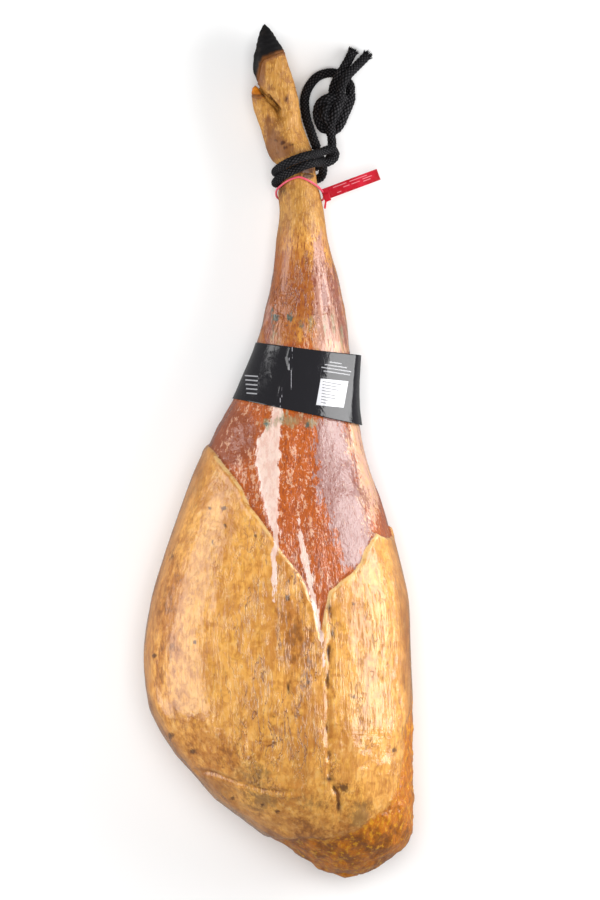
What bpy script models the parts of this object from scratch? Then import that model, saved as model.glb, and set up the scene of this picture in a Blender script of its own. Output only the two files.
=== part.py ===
"""A whole cured ham, lying on its back with its cut side up.

The trimmed leg has its foot on, with two claws and two dewclaws of horn. A doubled rope is
hitched round the shank and knotted, a plain seal is looped below it, and a glossy label band
is wrapped round the knuckle. Lengths are in millimetres until a mesh is made. The leg
lies along Y with its foot towards +Y, and rests on the plane z = 0.
"""
import math

import bmesh
import bpy
import numpy as np

MM = 0.001
GAP = 0.3                     # clearance between pieces that touch

# Sections of the leg from the butt to the toes: place along Y, left, right, bottom and top
LEG_SECTIONS = (
    (-388.5, 48.0, 72.0, 36.0, 57.0),
    (-384.0, 36.0, 87.0, 25.0, 70.0),
    (-378.0, 28.0, 95.0, 17.0, 80.0),
    (-373.0, 20.0, 101.0, 11.0, 88.0),
    (-362.0, 5.0, 115.0, 5.0, 101.0),
    (-351.0, -15.0, 121.0, 2.0, 112.0),
    (-340.0, -29.0, 123.0, 0.0, 121.0),
    (-318.0, -58.0, 123.0, -2.0, 134.0),
    (-296.0, -78.0, 122.5, -3.0, 142.0),
    (-274.0, -97.0, 122.5, -3.0, 147.0),
    (-252.0, -111.0, 123.5, -3.0, 150.0),
    (-231.0, -120.0, 122.0, -3.0, 152.0),
    (-187.0, -124.0, 119.5, -3.0, 153.0),
    (-143.0, -118.5, 117.5, -2.0, 150.0),
    (-100.0, -107.0, 109.0, -1.0, 143.0),
    (-56.0, -92.0, 98.0, 0.0, 130.0),
    (-12.0, -75.5, 83.0, 4.0, 114.0),
    (20.0, -59.0, 74.0, 7.0, 102.0),
    (42.0, -44.5, 68.5, 9.0, 95.0),
    (64.0, -34.5, 65.5, 10.5, 88.0),
    (97.0, -21.0, 63.0, 12.0, 80.0),
    (130.0, -13.0, 58.5, 13.0, 72.0),
    (162.0, -6.5, 52.0, 13.5, 65.0),
    (195.0, -3.5, 43.0, 13.5, 60.0),
    (217.0, -0.5, 39.5, 13.0, 57.0),
    (237.0, -1.5, 35.5, 12.5, 55.5),
    (243.0, 0.5, 34.0, 13.0, 54.0),
    (250.0, 1.0, 33.0, 13.5, 53.0),
    (258.5, -0.3, 32.0, 13.0, 53.5),
    (264.5, -6.5, 31.0, 11.0, 55.0),
    (272.0, -11.0, 30.0, 9.0, 55.0),
    (283.0, -14.0, 25.5, 7.0, 54.0),
    (292.0, -14.5, 22.5, 5.5, 52.5),
    (299.0, -11.0, 20.0, 4.5, 52.0),
    (305.0, -3.0, 18.7, 4.0, 51.0),
    (312.0, -2.0, 18.0, 5.0, 50.0),
    (317.0, 2.0, 14.0, 12.0, 43.0),
)
BUTT_POLE = (59.0, -390.0, 46.0)
FOOT_POLE = (8.0, 319.0, 27.5)
WIDEST_LEVEL = 0.42           # height of the widest line, as a share of a section's depth
UPPER_POWER = 2.1             # superellipse powers of a section's upper and lower half
LOWER_POWER = 2.6

# One main toe with its claw, the upper of the pair
TOE_SECTIONS = (
    (292.0, -6.0, 20.0, 30.0, 48.0),
    (305.0, -1.0, 18.0, 27.2, 50.5),
    (312.0, -2.0, 17.6, 27.0, 51.0),
    (316.0, -6.0, 17.2, 26.9, 51.0),
    (321.0, -10.8, 16.6, 26.9, 51.0),
    (326.5, -15.3, 15.5, 27.0, 51.0),
    (332.0, -18.8, 14.2, 27.0, 50.7),
    (337.5, -21.0, 12.8, 27.1, 50.5),
    (348.5, -24.6, 8.2, 27.4, 50.0),
    (359.5, -24.1, 5.4, 28.1, 49.0),
    (365.0, -22.3, 3.6, 28.4, 47.5),
    (374.0, -20.8, -2.1, 28.6, 44.0),
    (383.0, -18.3, -7.8, 29.4, 38.5),
    (388.0, -15.8, -12.0, 31.0, 35.5),
)
TOE_POLES = ((8.0, 288.0, 39.0), (-14.0, 389.6, 33.0))
TOE_POWERS = (2.3, 2.3)
# The small toe behind it, the upper of the pair
DEWCLAW_SECTIONS = (
    (270.0, -9.0, 6.0, 32.0, 43.0),
    (283.0, -14.5, 7.0, 30.0, 47.0),
    (295.5, -18.0, 4.0, 30.0, 48.5),
    (304.5, -21.4, -0.5, 31.0, 49.0),
    (311.0, -23.8, -4.2, 31.5, 48.5),
    (316.0, -25.0, -8.2, 32.0, 48.0),
    (321.0, -25.8, -13.0, 33.0, 47.0),
    (326.5, -26.0, -17.6, 34.5, 45.5),
    (330.5, -25.3, -19.5, 36.5, 43.5),
)
DEWCLAW_POLES = ((-2.0, 266.0, 38.0), (-22.5, 333.3, 40.0))
# Skin that closes the cleft between the toes and the dewclaws, deep below both
CLEFT_SECTIONS = (
    (294.0, -14.0, 4.0, 14.0, 41.0),
    (306.0, -15.0, -1.0, 15.0, 40.0),
    (316.0, -18.0, -6.0, 16.0, 39.0),
    (323.5, -20.0, -11.0, 22.5, 32.5),
    (330.0, -21.0, -15.5, 23.5, 31.5),
)
CLEFT_POLES = ((-5.0, 290.0, 27.5), (-18.5, 331.5, 27.5))
TOE_MIRROR = 27.5             # level of the plane between the upper and the lower toes
DEWCLAW_TIP = 325.2           # where the dewclaw's horn begins
# Line between skin and horn in plan, from the front of the toe round to its heel
CORONET = (
    (60.0, 400.0), (14.0, 370.0), (3.6, 364.2), (-2.8, 362.5), (-8.7, 359.6), (-14.5, 357.2),
    (-17.4, 352.6), (-18.5, 346.2), (-20.2, 338.6), (-21.4, 335.6), (-60.0, 333.0),
)

# Edge of the rind in plan: a V whose point is towards the butt, bare flesh above it
RIND_EDGE = (
    (-140.0, 120.0), (-64.7, 3.6), (-50.0, -15.0), (-35.5, -33.0), (-28.0, -50.0), (-17.8, -62.0),
    (-3.4, -84.0), (1.8, -92.5), (20.0, -114.0), (31.0, -141.0), (37.4, -170.0), (41.0, -147.0),
    (45.3, -127.0), (63.3, -112.5), (70.5, -114.3), (79.3, -91.0), (92.0, -76.0), (97.0, -57.0),
    (150.0, 60.0),
)
RIND_STEP = 2.4               # how far the rind stands above the flesh
BACK_EDGE = ((-140.0, 120.0), (-65.0, 5.0), (0.0, -40.0), (97.0, -57.0), (150.0, 60.0))
EDGE_SOFTNESS = 4.0           # half width of that step
RIND_FADE = (-10.0, 40.0)     # where along Y the step dies out towards the shank
MAIN_FURROW = (
    (45.3, -127.0), (47.0, -166.0), (44.6, -182.0), (45.6, -196.0), (43.0, -209.0), (44.0, -227.0),
    (42.8, -250.0), (44.6, -276.0), (44.6, -297.0), (53.0, -312.0), (53.0, -331.0), (57.0, -353.0),
)
SIDE_FURROW = (
    (15.0, -136.0), (11.5, -197.0), (8.0, -214.0), (8.0, -266.0), (17.0, -293.0), (17.6, -317.0),
)
CREST = ((2.0, 40.0), (3.0, 10.0), (-4.5, -138.0))
LOWER_STEP = (
    (-118.0, -215.0), (-102.0, -247.0), (-91.0, -272.0), (-75.6, -291.0), (-35.5, -331.0), (8.0, -354.0),
)
# Each line of the relief with its height, half width and the shares of it where it fades in and out
FOLDS = (
    (MAIN_FURROW, -2.6, 5.5, 0.08, 0.1),
    (SIDE_FURROW, -1.6, 6.5, 0.15, 0.2),
    (CREST, 2.6, 12.0, 0.3, 0.3),
)
LOWER_STEP_RISE = 1.5
LOWER_STEP_WIDTH = 9.0
SWELL = 1.2                   # height of the slow swells of the body

# Rope
ROPE_DIAMETER = 8.2
ROPE_RADIUS = ROPE_DIAMETER / 2
HITCH_RADIUS = 3.85           # the rope is pulled thinner where it is hitched
ROPE_STEP = 7.0               # spacing of the points along a rope's tube
ROPE_CLEARANCE = 0.8          # between the rope's turns and the shank
# From the hitch: under the bight, down to the side of the shank
HITCH_IN = (
    (33.6, 276.0, 26.6), (34.9, 272.2, 27.8), (37.4, 264.6, 25.0), (39.3, 256.5, 18.5), (37.0, 250.0, 12.5),
    (30.5, 247.5, 8.8),
)
# The bight that lies over both arms, from the lower turn round to the upper one
HITCH_BIGHT = (
    (36.0, 263.2, 38.0), (42.5, 263.0, 34.5), (48.3, 266.0, 33.0), (50.3, 270.6, 33.0), (47.6, 275.0, 34.0),
    (41.6, 274.0, 37.5), (35.4, 271.2, 43.5),
)
# From under the shank, below the bight and on to the knot
HITCH_OUT = (
    (31.5, 259.5, 6.6), (40.0, 262.5, 8.2), (46.0, 269.0, 11.0), (47.5, 278.0, 12.2), (46.9, 287.7, 12.5),
)
# Each turn over the shank: place along Y at its left, and its slopes to the right and upwards
LOWER_TURN = (244.2, 0.43, 0.15)
UPPER_TURN = (253.9, 0.40, 0.13)
TURN_LEFT = (-5.0, 32.0)      # x and z of the turns at their left
UPPER_TURN_RISE = 6.0         # the upper turn rides up on the lower one
TURN_END = 36.0               # degrees above the horizontal where the turns leave the shank

LONG_ARM = (
    (33.3, 276.8, 26.3), (30.5, 284.7, 23.5), (27.1, 294.7, 18.0), (24.0, 304.7, 12.5), (22.5, 315.7, 8.0),
    (22.9, 323.9, 5.6), (26.0, 332.5, 4.5), (32.4, 340.7, 4.4), (40.1, 344.8, 4.4), (48.3, 345.7, 4.4),
    (55.1, 343.4, 4.4), (60.1, 339.3, 4.5), (64.0, 333.9, 5.2), (64.3, 327.6, 7.1),
)
LEFT_TAIL = (
    (48.3, 327.6, 9.1), (48.9, 332.1, 10.6), (51.5, 338.4, 13.3), (55.4, 345.3, 13.3), (61.0, 354.4, 8.8),
    (66.4, 364.9, 4.6),
)
RIGHT_TAIL = (
    (55.2, 327.7, 17.6), (56.4, 333.6, 19.8), (59.4, 339.8, 21.0), (64.4, 345.9, 17.5), (71.3, 353.0, 10.4),
    (79.7, 361.7, 4.6),
)

# Strands of the knot, which are pressed into each other
KNOT_STRANDS = (
    ((64.3, 327.0, 7.3), (64.1, 321.0, 9.2), (61.5, 313.8, 13.0), (58.3, 306.6, 14.5), (55.1, 299.3, 13.0),
     (51.0, 294.3, 9.0), (45.6, 293.8, 6.0)),
    ((55.2, 326.8, 17.5), (54.2, 320.2, 16.2), (52.4, 313.8, 18.5), (49.2, 306.6, 20.0), (46.0, 300.2, 16.5),
     (46.4, 294.0, 13.0), (46.9, 288.3, 12.5)),
    ((48.3, 327.0, 8.9), (47.6, 321.0, 7.6), (44.0, 313.0, 9.0)),
    ((56.5, 320.0, 10.0), (51.0, 322.3, 15.0), (43.7, 321.8, 16.5), (37.2, 317.5, 15.5), (34.6, 311.1, 13.5),
     (35.0, 303.8, 11.5), (38.7, 295.8, 9.5), (44.6, 293.8, 8.0)),
    ((47.5, 315.0, 14.0), (43.0, 313.8, 18.5), (39.8, 309.3, 19.5), (41.5, 303.8, 18.5), (46.5, 302.0, 15.0)),
)
KNOT_CORE = ((47.5, 309.0, 9.6), (12.0, 16.0, 9.2))     # centre and half sizes

# Label band, a loose sleeve: place along Y at its left and right edge, for its upper and lower rim
BAND_TOP = (98.5, 85.5)
BAND_BOTTOM = (43.0, 23.0)
BAND_SPAN = (-20.0, 73.7)     # x of the edges that those places are given for
BAND_CLEARANCE = 0.9
BAND_THICKNESS = 0.7
BAND_FLARE = 8.6              # how far it stands off at the right of its upper rim

# Seal
STRAP_RADIUS = 1.0
STRAP_CENTRE = 240.0          # place along Y where the loop crosses half height
STRAP_LEVEL = 34.0
STRAP_BEND = (3.5, 5.0)       # how far the loop is drawn back at its left and at its right
STRAP_SLOPE = 0.5             # how far the loop leans towards the foot, for each millimetre up
STRAP_CLEARANCE = 1.1
STRAP_SLACK = 1.4             # how far it stands off at its right
TAG_SIZE = (55.0, 10.5, 1.6)
TAG_CENTRE = (64.4, 242.8, 32.5)
LOCK_SIZE = (6.0, 7.5, 4.2)
STUB_SIZE = (1.8, 8.0, 1.4)
STUB_TURN = math.radians(-8.0)
LOCK_CENTRE = (42.8, 231.2, 36.6)
STUB_CENTRE = (41.4, 224.8, 37.0)
TAG_TURN = math.radians(20.5)
TAG_DROOP = math.radians(7.0)


def clear_scene():
    for item in list(bpy.data.objects):
        bpy.data.objects.remove(item, do_unlink=True)


def smooth_step(low, high, value):
    share = np.clip((np.asarray(value, dtype=float) - low) / (high - low), 0.0, 1.0)
    return share * share * (3.0 - 2.0 * share)


def smooth_columns(rows, places):
    """Each column of a table of sections, read smoothly and without overshoot at the places."""
    table = np.array(rows, dtype=float)
    known = table[:, 0]
    step = np.diff(known)
    found = []
    for column in table[:, 1:].T:
        slope = np.diff(column) / step
        tangent = np.zeros(len(known))
        same = slope[1:] * slope[:-1] > 0
        weight_a = 2.0 * step[1:] + step[:-1]
        weight_b = step[1:] + 2.0 * step[:-1]
        inner = np.zeros(len(slope) - 1)
        inner[same] = ((weight_a + weight_b)[same]
                       / (weight_a[same] / slope[:-1][same] + weight_b[same] / slope[1:][same]))
        tangent[1:-1] = inner
        tangent[0] = slope[0]
        tangent[-1] = slope[-1]
        index = np.clip(np.searchsorted(known, places) - 1, 0, len(step) - 1)
        share = np.clip((places - known[index]) / step[index], 0.0, 1.0)
        rise = share * share * (3.0 - 2.0 * share)
        found.append(column[index] * (1.0 - rise) + column[index + 1] * rise
                     + step[index] * share * (1.0 - share)
                     * ((1.0 - share) * tangent[index] - share * tangent[index + 1]))
    return found


def section_points(rows, places, angles, powers=(UPPER_POWER, LOWER_POWER)):
    """Points of the superellipse sections, for matching arrays of places and angles."""
    left, right, bottom, top = smooth_columns(rows, places)
    level = bottom + WIDEST_LEVEL * (top - bottom)
    side = np.cos(angles)
    rise = np.sin(angles)
    power = np.where(rise >= 0.0, powers[0], powers[1])
    reach = np.sign(side) * np.abs(side) ** (2.0 / power)
    lift = np.abs(rise) ** (2.0 / power)
    x = (left + right) / 2 + (right - left) / 2 * reach
    z = np.where(rise >= 0.0, level + (top - level) * lift, level - (level - bottom) * lift)
    return np.stack([x, places, z], axis=-1)


def half_turns(upper, lower):
    """Angles round a section, with more of them over its upper half."""
    over = np.linspace(0.0, math.pi, upper, endpoint=False)
    under = np.linspace(math.pi, 2.0 * math.pi, lower, endpoint=False)
    return np.concatenate([over, under])


def grid_normals(grid, poles):
    """Outward direction at each point of a lofted grid."""
    before = np.concatenate([np.broadcast_to(poles[0], grid[:1].shape), grid[:-1]])
    after = np.concatenate([grid[1:], np.broadcast_to(poles[1], grid[:1].shape)])
    along = after - before
    around = np.roll(grid, -1, axis=1) - np.roll(grid, 1, axis=1)
    normal = np.cross(along, around)
    return normal / np.maximum(np.linalg.norm(normal, axis=-1, keepdims=True), 1e-9)


def line_distance(points, line):
    """Distance in plan from each point to a line, and the share of the line where it is nearest."""
    corners = np.array(line, dtype=float)
    lengths = np.linalg.norm(np.diff(corners, axis=0), axis=1)
    starts = np.concatenate([[0.0], np.cumsum(lengths)])
    nearest = np.full(points.shape[:-1], 1e9)
    share = np.zeros(points.shape[:-1])
    for index, length in enumerate(lengths):
        start = corners[index]
        run = (corners[index + 1] - start) / length
        offset = points[..., :2] - start
        along = np.clip(offset @ run, 0.0, length)
        distance = np.linalg.norm(offset - along[..., None] * run, axis=-1)
        closer = distance < nearest
        nearest = np.where(closer, distance, nearest)
        share = np.where(closer, (starts[index] + along) / starts[-1], share)
    return nearest, share


def above_line(points, line):
    """True where a point is on the foot's side of a line that runs from left to right."""
    corners = np.array(line, dtype=float)
    return points[..., 1] > np.interp(points[..., 0], corners[:, 0], corners[:, 1])


def leg_relief(points, normals):
    """How far the surface of the leg stands out from its plain sections."""
    upward = smooth_step(-0.05, 0.3, normals[..., 2])
    distance, _ = line_distance(points, RIND_EDGE)
    flesh = np.where(above_line(points, RIND_EDGE), distance, -distance)
    back, _ = line_distance(points, BACK_EDGE)
    back_flesh = np.where(above_line(points, BACK_EDGE), back, -back)
    fade = 1.0 - smooth_step(*RIND_FADE, points[..., 1])
    front_step = smooth_step(-EDGE_SOFTNESS, EDGE_SOFTNESS, flesh)
    back_step = smooth_step(-EDGE_SOFTNESS, EDGE_SOFTNESS, back_flesh)
    relief = -RIND_STEP * fade * (upward * front_step + (1.0 - upward) * back_step)

    for line, height, width, fade_in, fade_out in FOLDS:
        distance, share = line_distance(points, line)
        ends = smooth_step(0.0, fade_in, share) * (1.0 - smooth_step(1.0 - fade_out, 1.0, share))
        relief += height * ends * upward * np.exp(-(distance / width) ** 2)
    distance, _ = line_distance(points, LOWER_STEP)
    relief += LOWER_STEP_RISE * upward * np.exp(-(distance / LOWER_STEP_WIDTH) ** 2)
    swell = np.sin(points[..., 0] / 31.0 + 0.7) * np.sin(points[..., 1] / 43.0 + 1.9)
    body = 1.0 - smooth_step(-60.0, 0.0, points[..., 1])
    relief += SWELL * body * upward * swell
    return relief


def mesh_object(name, points, faces, material):
    mesh = bpy.data.meshes.new(name)
    mesh.from_pydata([tuple(float(v) * MM for v in point) for point in points], [], faces)
    mesh.materials.append(material)
    work = bmesh.new()
    work.from_mesh(mesh)
    bmesh.ops.recalc_face_normals(work, faces=work.faces)
    work.to_mesh(mesh)
    work.free()
    mesh.shade_smooth()
    item = bpy.data.objects.new(name, mesh)
    bpy.context.collection.objects.link(item)
    return item


def close_loft(name, grid, poles, material):
    """A closed mesh from rings of points, each end drawn in to its pole."""
    rings, around = grid.shape[:2]
    points = [tuple(point) for ring in grid for point in ring] + [poles[0], poles[1]]
    faces = []
    for ring in range(rings - 1):
        for step in range(around):
            turn = (step + 1) % around
            low = ring * around
            high = low + around
            faces.append((low + step, low + turn, high + turn, high + step))
    last = (rings - 1) * around
    for step in range(around):
        turn = (step + 1) % around
        faces.append((rings * around, turn, step))
        faces.append((rings * around + 1, last + step, last + turn))
    return mesh_object(name, points, faces, material)


def leg_places():
    """Where the leg's rings lie: close together round the butt and at the rope."""
    butt = -388.5 + 50.0 * (1.0 - np.cos(np.linspace(0.0, math.pi / 2, 8, endpoint=False)))
    body = np.linspace(-338.5, -30.0, 34, endpoint=False)
    knuckle = np.linspace(-30.0, 232.0, 21, endpoint=False)
    foot = np.linspace(232.0, 317.0, 14)
    return np.concatenate([butt, body, knuckle, foot])


def make_leg(material):
    angles = half_turns(33, 17)
    places = leg_places()
    flat_places = np.repeat(places, len(angles))
    flat_angles = np.tile(angles, len(places))
    grid = section_points(LEG_SECTIONS, flat_places, flat_angles).reshape(len(places), len(angles), 3)
    poles = np.array([BUTT_POLE, FOOT_POLE])
    normals = grid_normals(grid, poles)
    grid = grid + normals * leg_relief(grid, normals)[..., None]
    grid[..., 2] = np.maximum(grid[..., 2], 0.0)
    return close_loft("ham", grid, [BUTT_POLE, FOOT_POLE], material)


def mirrored(rows):
    """The same sections turned over, for the lower of two toes."""
    return [(row[0], row[1], row[2], 2 * TOE_MIRROR - row[4], 2 * TOE_MIRROR - row[3]) for row in rows]


def make_toe(name, rows, poles, lower, rings, around, material):
    if lower:
        rows = mirrored(rows)
        poles = [(pole[0], pole[1], 2 * TOE_MIRROR - pole[2]) for pole in poles]
    places = np.linspace(rows[0][0], rows[-1][0], rings)
    angles = np.linspace(0.0, 2.0 * math.pi, around, endpoint=False)
    flat_places = np.repeat(places, around)
    flat_angles = np.tile(angles, rings)
    grid = section_points(rows, flat_places, flat_angles, TOE_POWERS).reshape(rings, around, 3)
    return close_loft(name, grid, list(poles), material)


def make_prism(name, outline, low, high, material):
    """A closed prism over an outline in plan."""
    count = len(outline)
    points = [(x, y, low) for x, y in outline] + [(x, y, high) for x, y in outline]
    faces = [tuple(range(count)), tuple(range(2 * count - 1, count - 1, -1))]
    for step in range(count):
        turn = (step + 1) % count
        faces.append((step, turn, count + turn, count + step))
    item = mesh_object(name, points, faces, material)
    item.data.shade_flat()
    return item


def coronet_cutter(shift, material):
    """What lies beyond the line between skin and horn, moved by a shift towards the tip."""
    outline = [(x, y + shift) for x, y in CORONET]
    outline += [(-60.0, 430.0), (60.0, 430.0)]
    return make_prism("coronet_cutter", outline, -10.0, 80.0, material)


def dewclaw_cutter(shift, material):
    """What lies beyond the line where a dewclaw's horn begins."""
    start = DEWCLAW_TIP + shift
    outline = [(-60.0, start), (10.0, start), (10.0, 350.0), (-60.0, 350.0)]
    return make_prism("dewclaw_cutter", outline, -10.0, 80.0, material)


def boolean(target, other, operation):
    """Apply one Boolean between two objects and drop the second."""
    modifier = target.modifiers.new("boolean", "BOOLEAN")
    modifier.operation = operation
    modifier.solver = "EXACT"
    modifier.object = other
    apply_modifier(target)
    bpy.data.objects.remove(other, do_unlink=True)


def apply_modifier(target):
    bpy.context.view_layer.update()
    evaluated = target.evaluated_get(bpy.context.evaluated_depsgraph_get())
    mesh = bpy.data.meshes.new_from_object(evaluated)
    target.modifiers.clear()
    target.data = mesh


def unite(target, others):
    """Join several overlapping solids into the target with one Boolean."""
    group = bpy.data.collections.new("union")
    bpy.context.scene.collection.children.link(group)
    for item in others:
        group.objects.link(item)
    modifier = target.modifiers.new("union", "BOOLEAN")
    modifier.operation = "UNION"
    modifier.solver = "EXACT"
    modifier.operand_type = "COLLECTION"
    modifier.collection = group
    apply_modifier(target)
    for item in others:
        bpy.data.objects.remove(item, do_unlink=True)
    bpy.data.collections.remove(group)


def smooth_path(route, spacing):
    """Evenly spaced points on a smooth curve through the route's own points."""
    points = np.array(route, dtype=float)
    padded = np.concatenate([[2 * points[0] - points[1]], points, [2 * points[-1] - points[-2]]])
    fine = []
    for index in range(len(points) - 1):
        before, start, end, after = padded[index:index + 4]
        for share in np.linspace(0.0, 1.0, 24, endpoint=False):
            fine.append(0.5 * (2 * start + (end - before) * share
                               + (2 * before - 5 * start + 4 * end - after) * share ** 2
                               + (3 * start - before - 3 * end + after) * share ** 3))
    fine.append(points[-1])
    fine = np.array(fine)
    travelled = np.concatenate([[0.0], np.cumsum(np.linalg.norm(np.diff(fine, axis=0), axis=1))])
    count = max(4, int(round(travelled[-1] / spacing)) + 1)
    wanted = np.linspace(0.0, travelled[-1], count)
    return np.stack([np.interp(wanted, travelled, fine[:, axis]) for axis in range(3)], axis=1)


def make_tube(name, path, radius, material):
    """A round tube along a path, as a curve with a bevel."""
    curve = bpy.data.curves.new(name, "CURVE")
    curve.dimensions = "3D"
    curve.bevel_depth = radius * MM
    curve.bevel_resolution = 2
    curve.use_fill_caps = True
    spline = curve.splines.new("POLY")
    spline.points.add(len(path) - 1)
    for point, place in zip(spline.points, path):
        point.co = (place[0] * MM, place[1] * MM, place[2] * MM, 1.0)
    curve.materials.append(material)
    item = bpy.data.objects.new(name, curve)
    bpy.context.collection.objects.link(item)
    return item


def sweep(name, path, radius, around, material):
    """The same kind of tube as a closed mesh, for joining by a Boolean."""
    path = np.array(path)
    run = np.gradient(path, axis=0)
    run /= np.linalg.norm(run, axis=1, keepdims=True)
    side = np.cross(run[0], (0.0, 0.0, 1.0))
    side /= np.linalg.norm(side)
    turn = np.linspace(0.0, 2.0 * math.pi, around, endpoint=False)
    grid = np.zeros((len(path), around, 3))
    for index, centre in enumerate(path):
        side = side - run[index] * side.dot(run[index])
        side /= np.linalg.norm(side)
        rise = np.cross(run[index], side)
        grid[index] = centre + radius * (np.outer(np.cos(turn), side) + np.outer(np.sin(turn), rise))
    return close_loft(name, grid, [tuple(path[0]), tuple(path[-1])], material)


def round_shank(places, angles):
    """Rope centres round the shank for matching places along Y and angles."""
    centre = section_points(LEG_SECTIONS, places, angles)
    ahead = section_points(LEG_SECTIONS, places, angles + 0.02)
    behind = section_points(LEG_SECTIONS, places, angles - 0.02)
    run = ahead - behind
    outward = np.stack([run[:, 2], np.zeros(len(angles)), -run[:, 0]], axis=1)
    outward /= np.linalg.norm(outward, axis=1, keepdims=True)
    return centre + outward * (HITCH_RADIUS + ROPE_CLEARANCE)


def turn_over(turn, angle_from, angle_to, count, rise):
    """A turn over the top of the shank, leaning as its slopes say."""
    left, across, upward = turn
    angles = np.radians(np.linspace(angle_from, angle_to, count))
    places = np.full(count, left)
    for _ in range(6):
        points = round_shank(places, angles)
        places = left + across * (points[:, 0] - TURN_LEFT[0]) + upward * (points[:, 2] - TURN_LEFT[1])
    points[:, 2] += rise * np.sqrt(np.sin(angles))
    return [tuple(point) for point in points]


def turn_under(place_from, place_to, angle_from, angle_to, count):
    """A turn under the shank, evenly from one place along Y to another."""
    angles = np.radians(np.linspace(angle_from, angle_to, count))
    return [tuple(point) for point in round_shank(np.linspace(place_from, place_to, count), angles)]


def noose_path():
    """The hitch: in under the bight, round, over and back round the shank, and out to the knot."""
    route = list(HITCH_IN)
    route += turn_under(246.5, LOWER_TURN[0], 285.0, 190.0, 5)
    route += turn_over(LOWER_TURN, 165.0, TURN_END, 6, 0.0)
    route += list(HITCH_BIGHT)
    route += turn_over(UPPER_TURN, TURN_END + 6.0, 165.0, 6, UPPER_TURN_RISE)
    route += turn_under(UPPER_TURN[0], 258.0, 190.0, 285.0, 5)
    route += list(HITCH_OUT)
    return smooth_path(route, ROPE_STEP)


def make_knot(material):
    centre, half = KNOT_CORE
    around = 12
    rings = 7
    lift = np.linspace(-math.pi / 2, math.pi / 2, rings + 2)[1:-1]
    turn = np.linspace(0.0, 2.0 * math.pi, around, endpoint=False)
    grid = np.zeros((rings, around, 3))
    for ring, angle in enumerate(lift):
        grid[ring, :, 0] = centre[0] + half[0] * math.cos(angle) * np.sin(turn)
        grid[ring, :, 1] = centre[1] + half[1] * math.sin(angle)
        grid[ring, :, 2] = centre[2] + half[2] * math.cos(angle) * np.cos(turn)
    poles = [(centre[0], centre[1] - half[1], centre[2]), (centre[0], centre[1] + half[1], centre[2])]
    knot = close_loft("rope_knot", grid, poles, material)
    strands = []
    for index, route in enumerate(KNOT_STRANDS):
        path = smooth_path(route, ROPE_STEP * 0.8)
        strands.append(sweep("strand_%d" % index, path, ROPE_RADIUS, 8, material))
    unite(knot, strands)
    return knot


def band_ring(share, offset, angles):
    """One ring of the label band: its share of the way from the upper to the lower rim."""
    left = BAND_TOP[0] + (BAND_BOTTOM[0] - BAND_TOP[0]) * share
    right = BAND_TOP[1] + (BAND_BOTTOM[1] - BAND_TOP[1]) * share
    places = np.full(len(angles), (left + right) / 2)
    for _ in range(6):
        points = section_points(LEG_SECTIONS, places, angles)
        across = (points[:, 0] - BAND_SPAN[0]) / (BAND_SPAN[1] - BAND_SPAN[0])
        places = left + (right - left) * across
    ahead = section_points(LEG_SECTIONS, places, angles + 0.02)
    behind = section_points(LEG_SECTIONS, places, angles - 0.02)
    along = ahead - behind
    outward = np.stack([along[:, 2], np.zeros(len(angles)), -along[:, 0]], axis=1)
    outward /= np.linalg.norm(outward, axis=1, keepdims=True)
    points = points + outward * offset
    flare = BAND_FLARE * (1.0 - share) * np.clip(np.cos(angles - math.radians(8.0)), 0.0, 1.0) ** 2.5
    points[:, 0] += flare
    return points


def make_band(material):
    """A thin closed sleeve: up the outside, over the rim and down the inside."""
    angles = np.linspace(0.0, 2.0 * math.pi, 36, endpoint=False)
    shares = np.linspace(0.0, 1.0, 5)
    rings = [band_ring(share, BAND_CLEARANCE + BAND_THICKNESS, angles) for share in shares]
    rings += [band_ring(share, BAND_CLEARANCE, angles) for share in shares[::-1]]
    count = len(rings)
    around = len(angles)
    points = [tuple(point) for ring in rings for point in ring]
    faces = []
    for ring in range(count):
        for step in range(around):
            turn = (step + 1) % around
            low = ring * around
            high = ((ring + 1) % count) * around
            faces.append((low + step, low + turn, high + turn, high + step))
    return mesh_object("label_band", points, faces, material)


def strap_ring():
    """Centre line of the seal's loop, which leans towards the foot at its top."""
    angles = np.linspace(0.0, 2.0 * math.pi, 28, endpoint=False)
    places = np.full(len(angles), STRAP_CENTRE)
    for _ in range(8):
        points = section_points(LEG_SECTIONS, places, angles)
        places = STRAP_CENTRE + STRAP_SLOPE * (points[:, 2] - STRAP_LEVEL)
        places = places - STRAP_BEND[0] * np.clip(-np.cos(angles), 0.0, 1.0)
        places = places - STRAP_BEND[1] * np.clip(np.cos(angles), 0.0, 1.0)
    points[:, 1] = places
    centre = points.mean(axis=0)
    outward = points - centre
    outward[:, 1] = 0.0
    outward /= np.linalg.norm(outward, axis=1, keepdims=True)
    points = points + outward * (STRAP_RADIUS + STRAP_CLEARANCE)
    points[:, 0] += STRAP_SLACK * np.clip(np.cos(angles), 0.0, 1.0) ** 2
    return points


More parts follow.
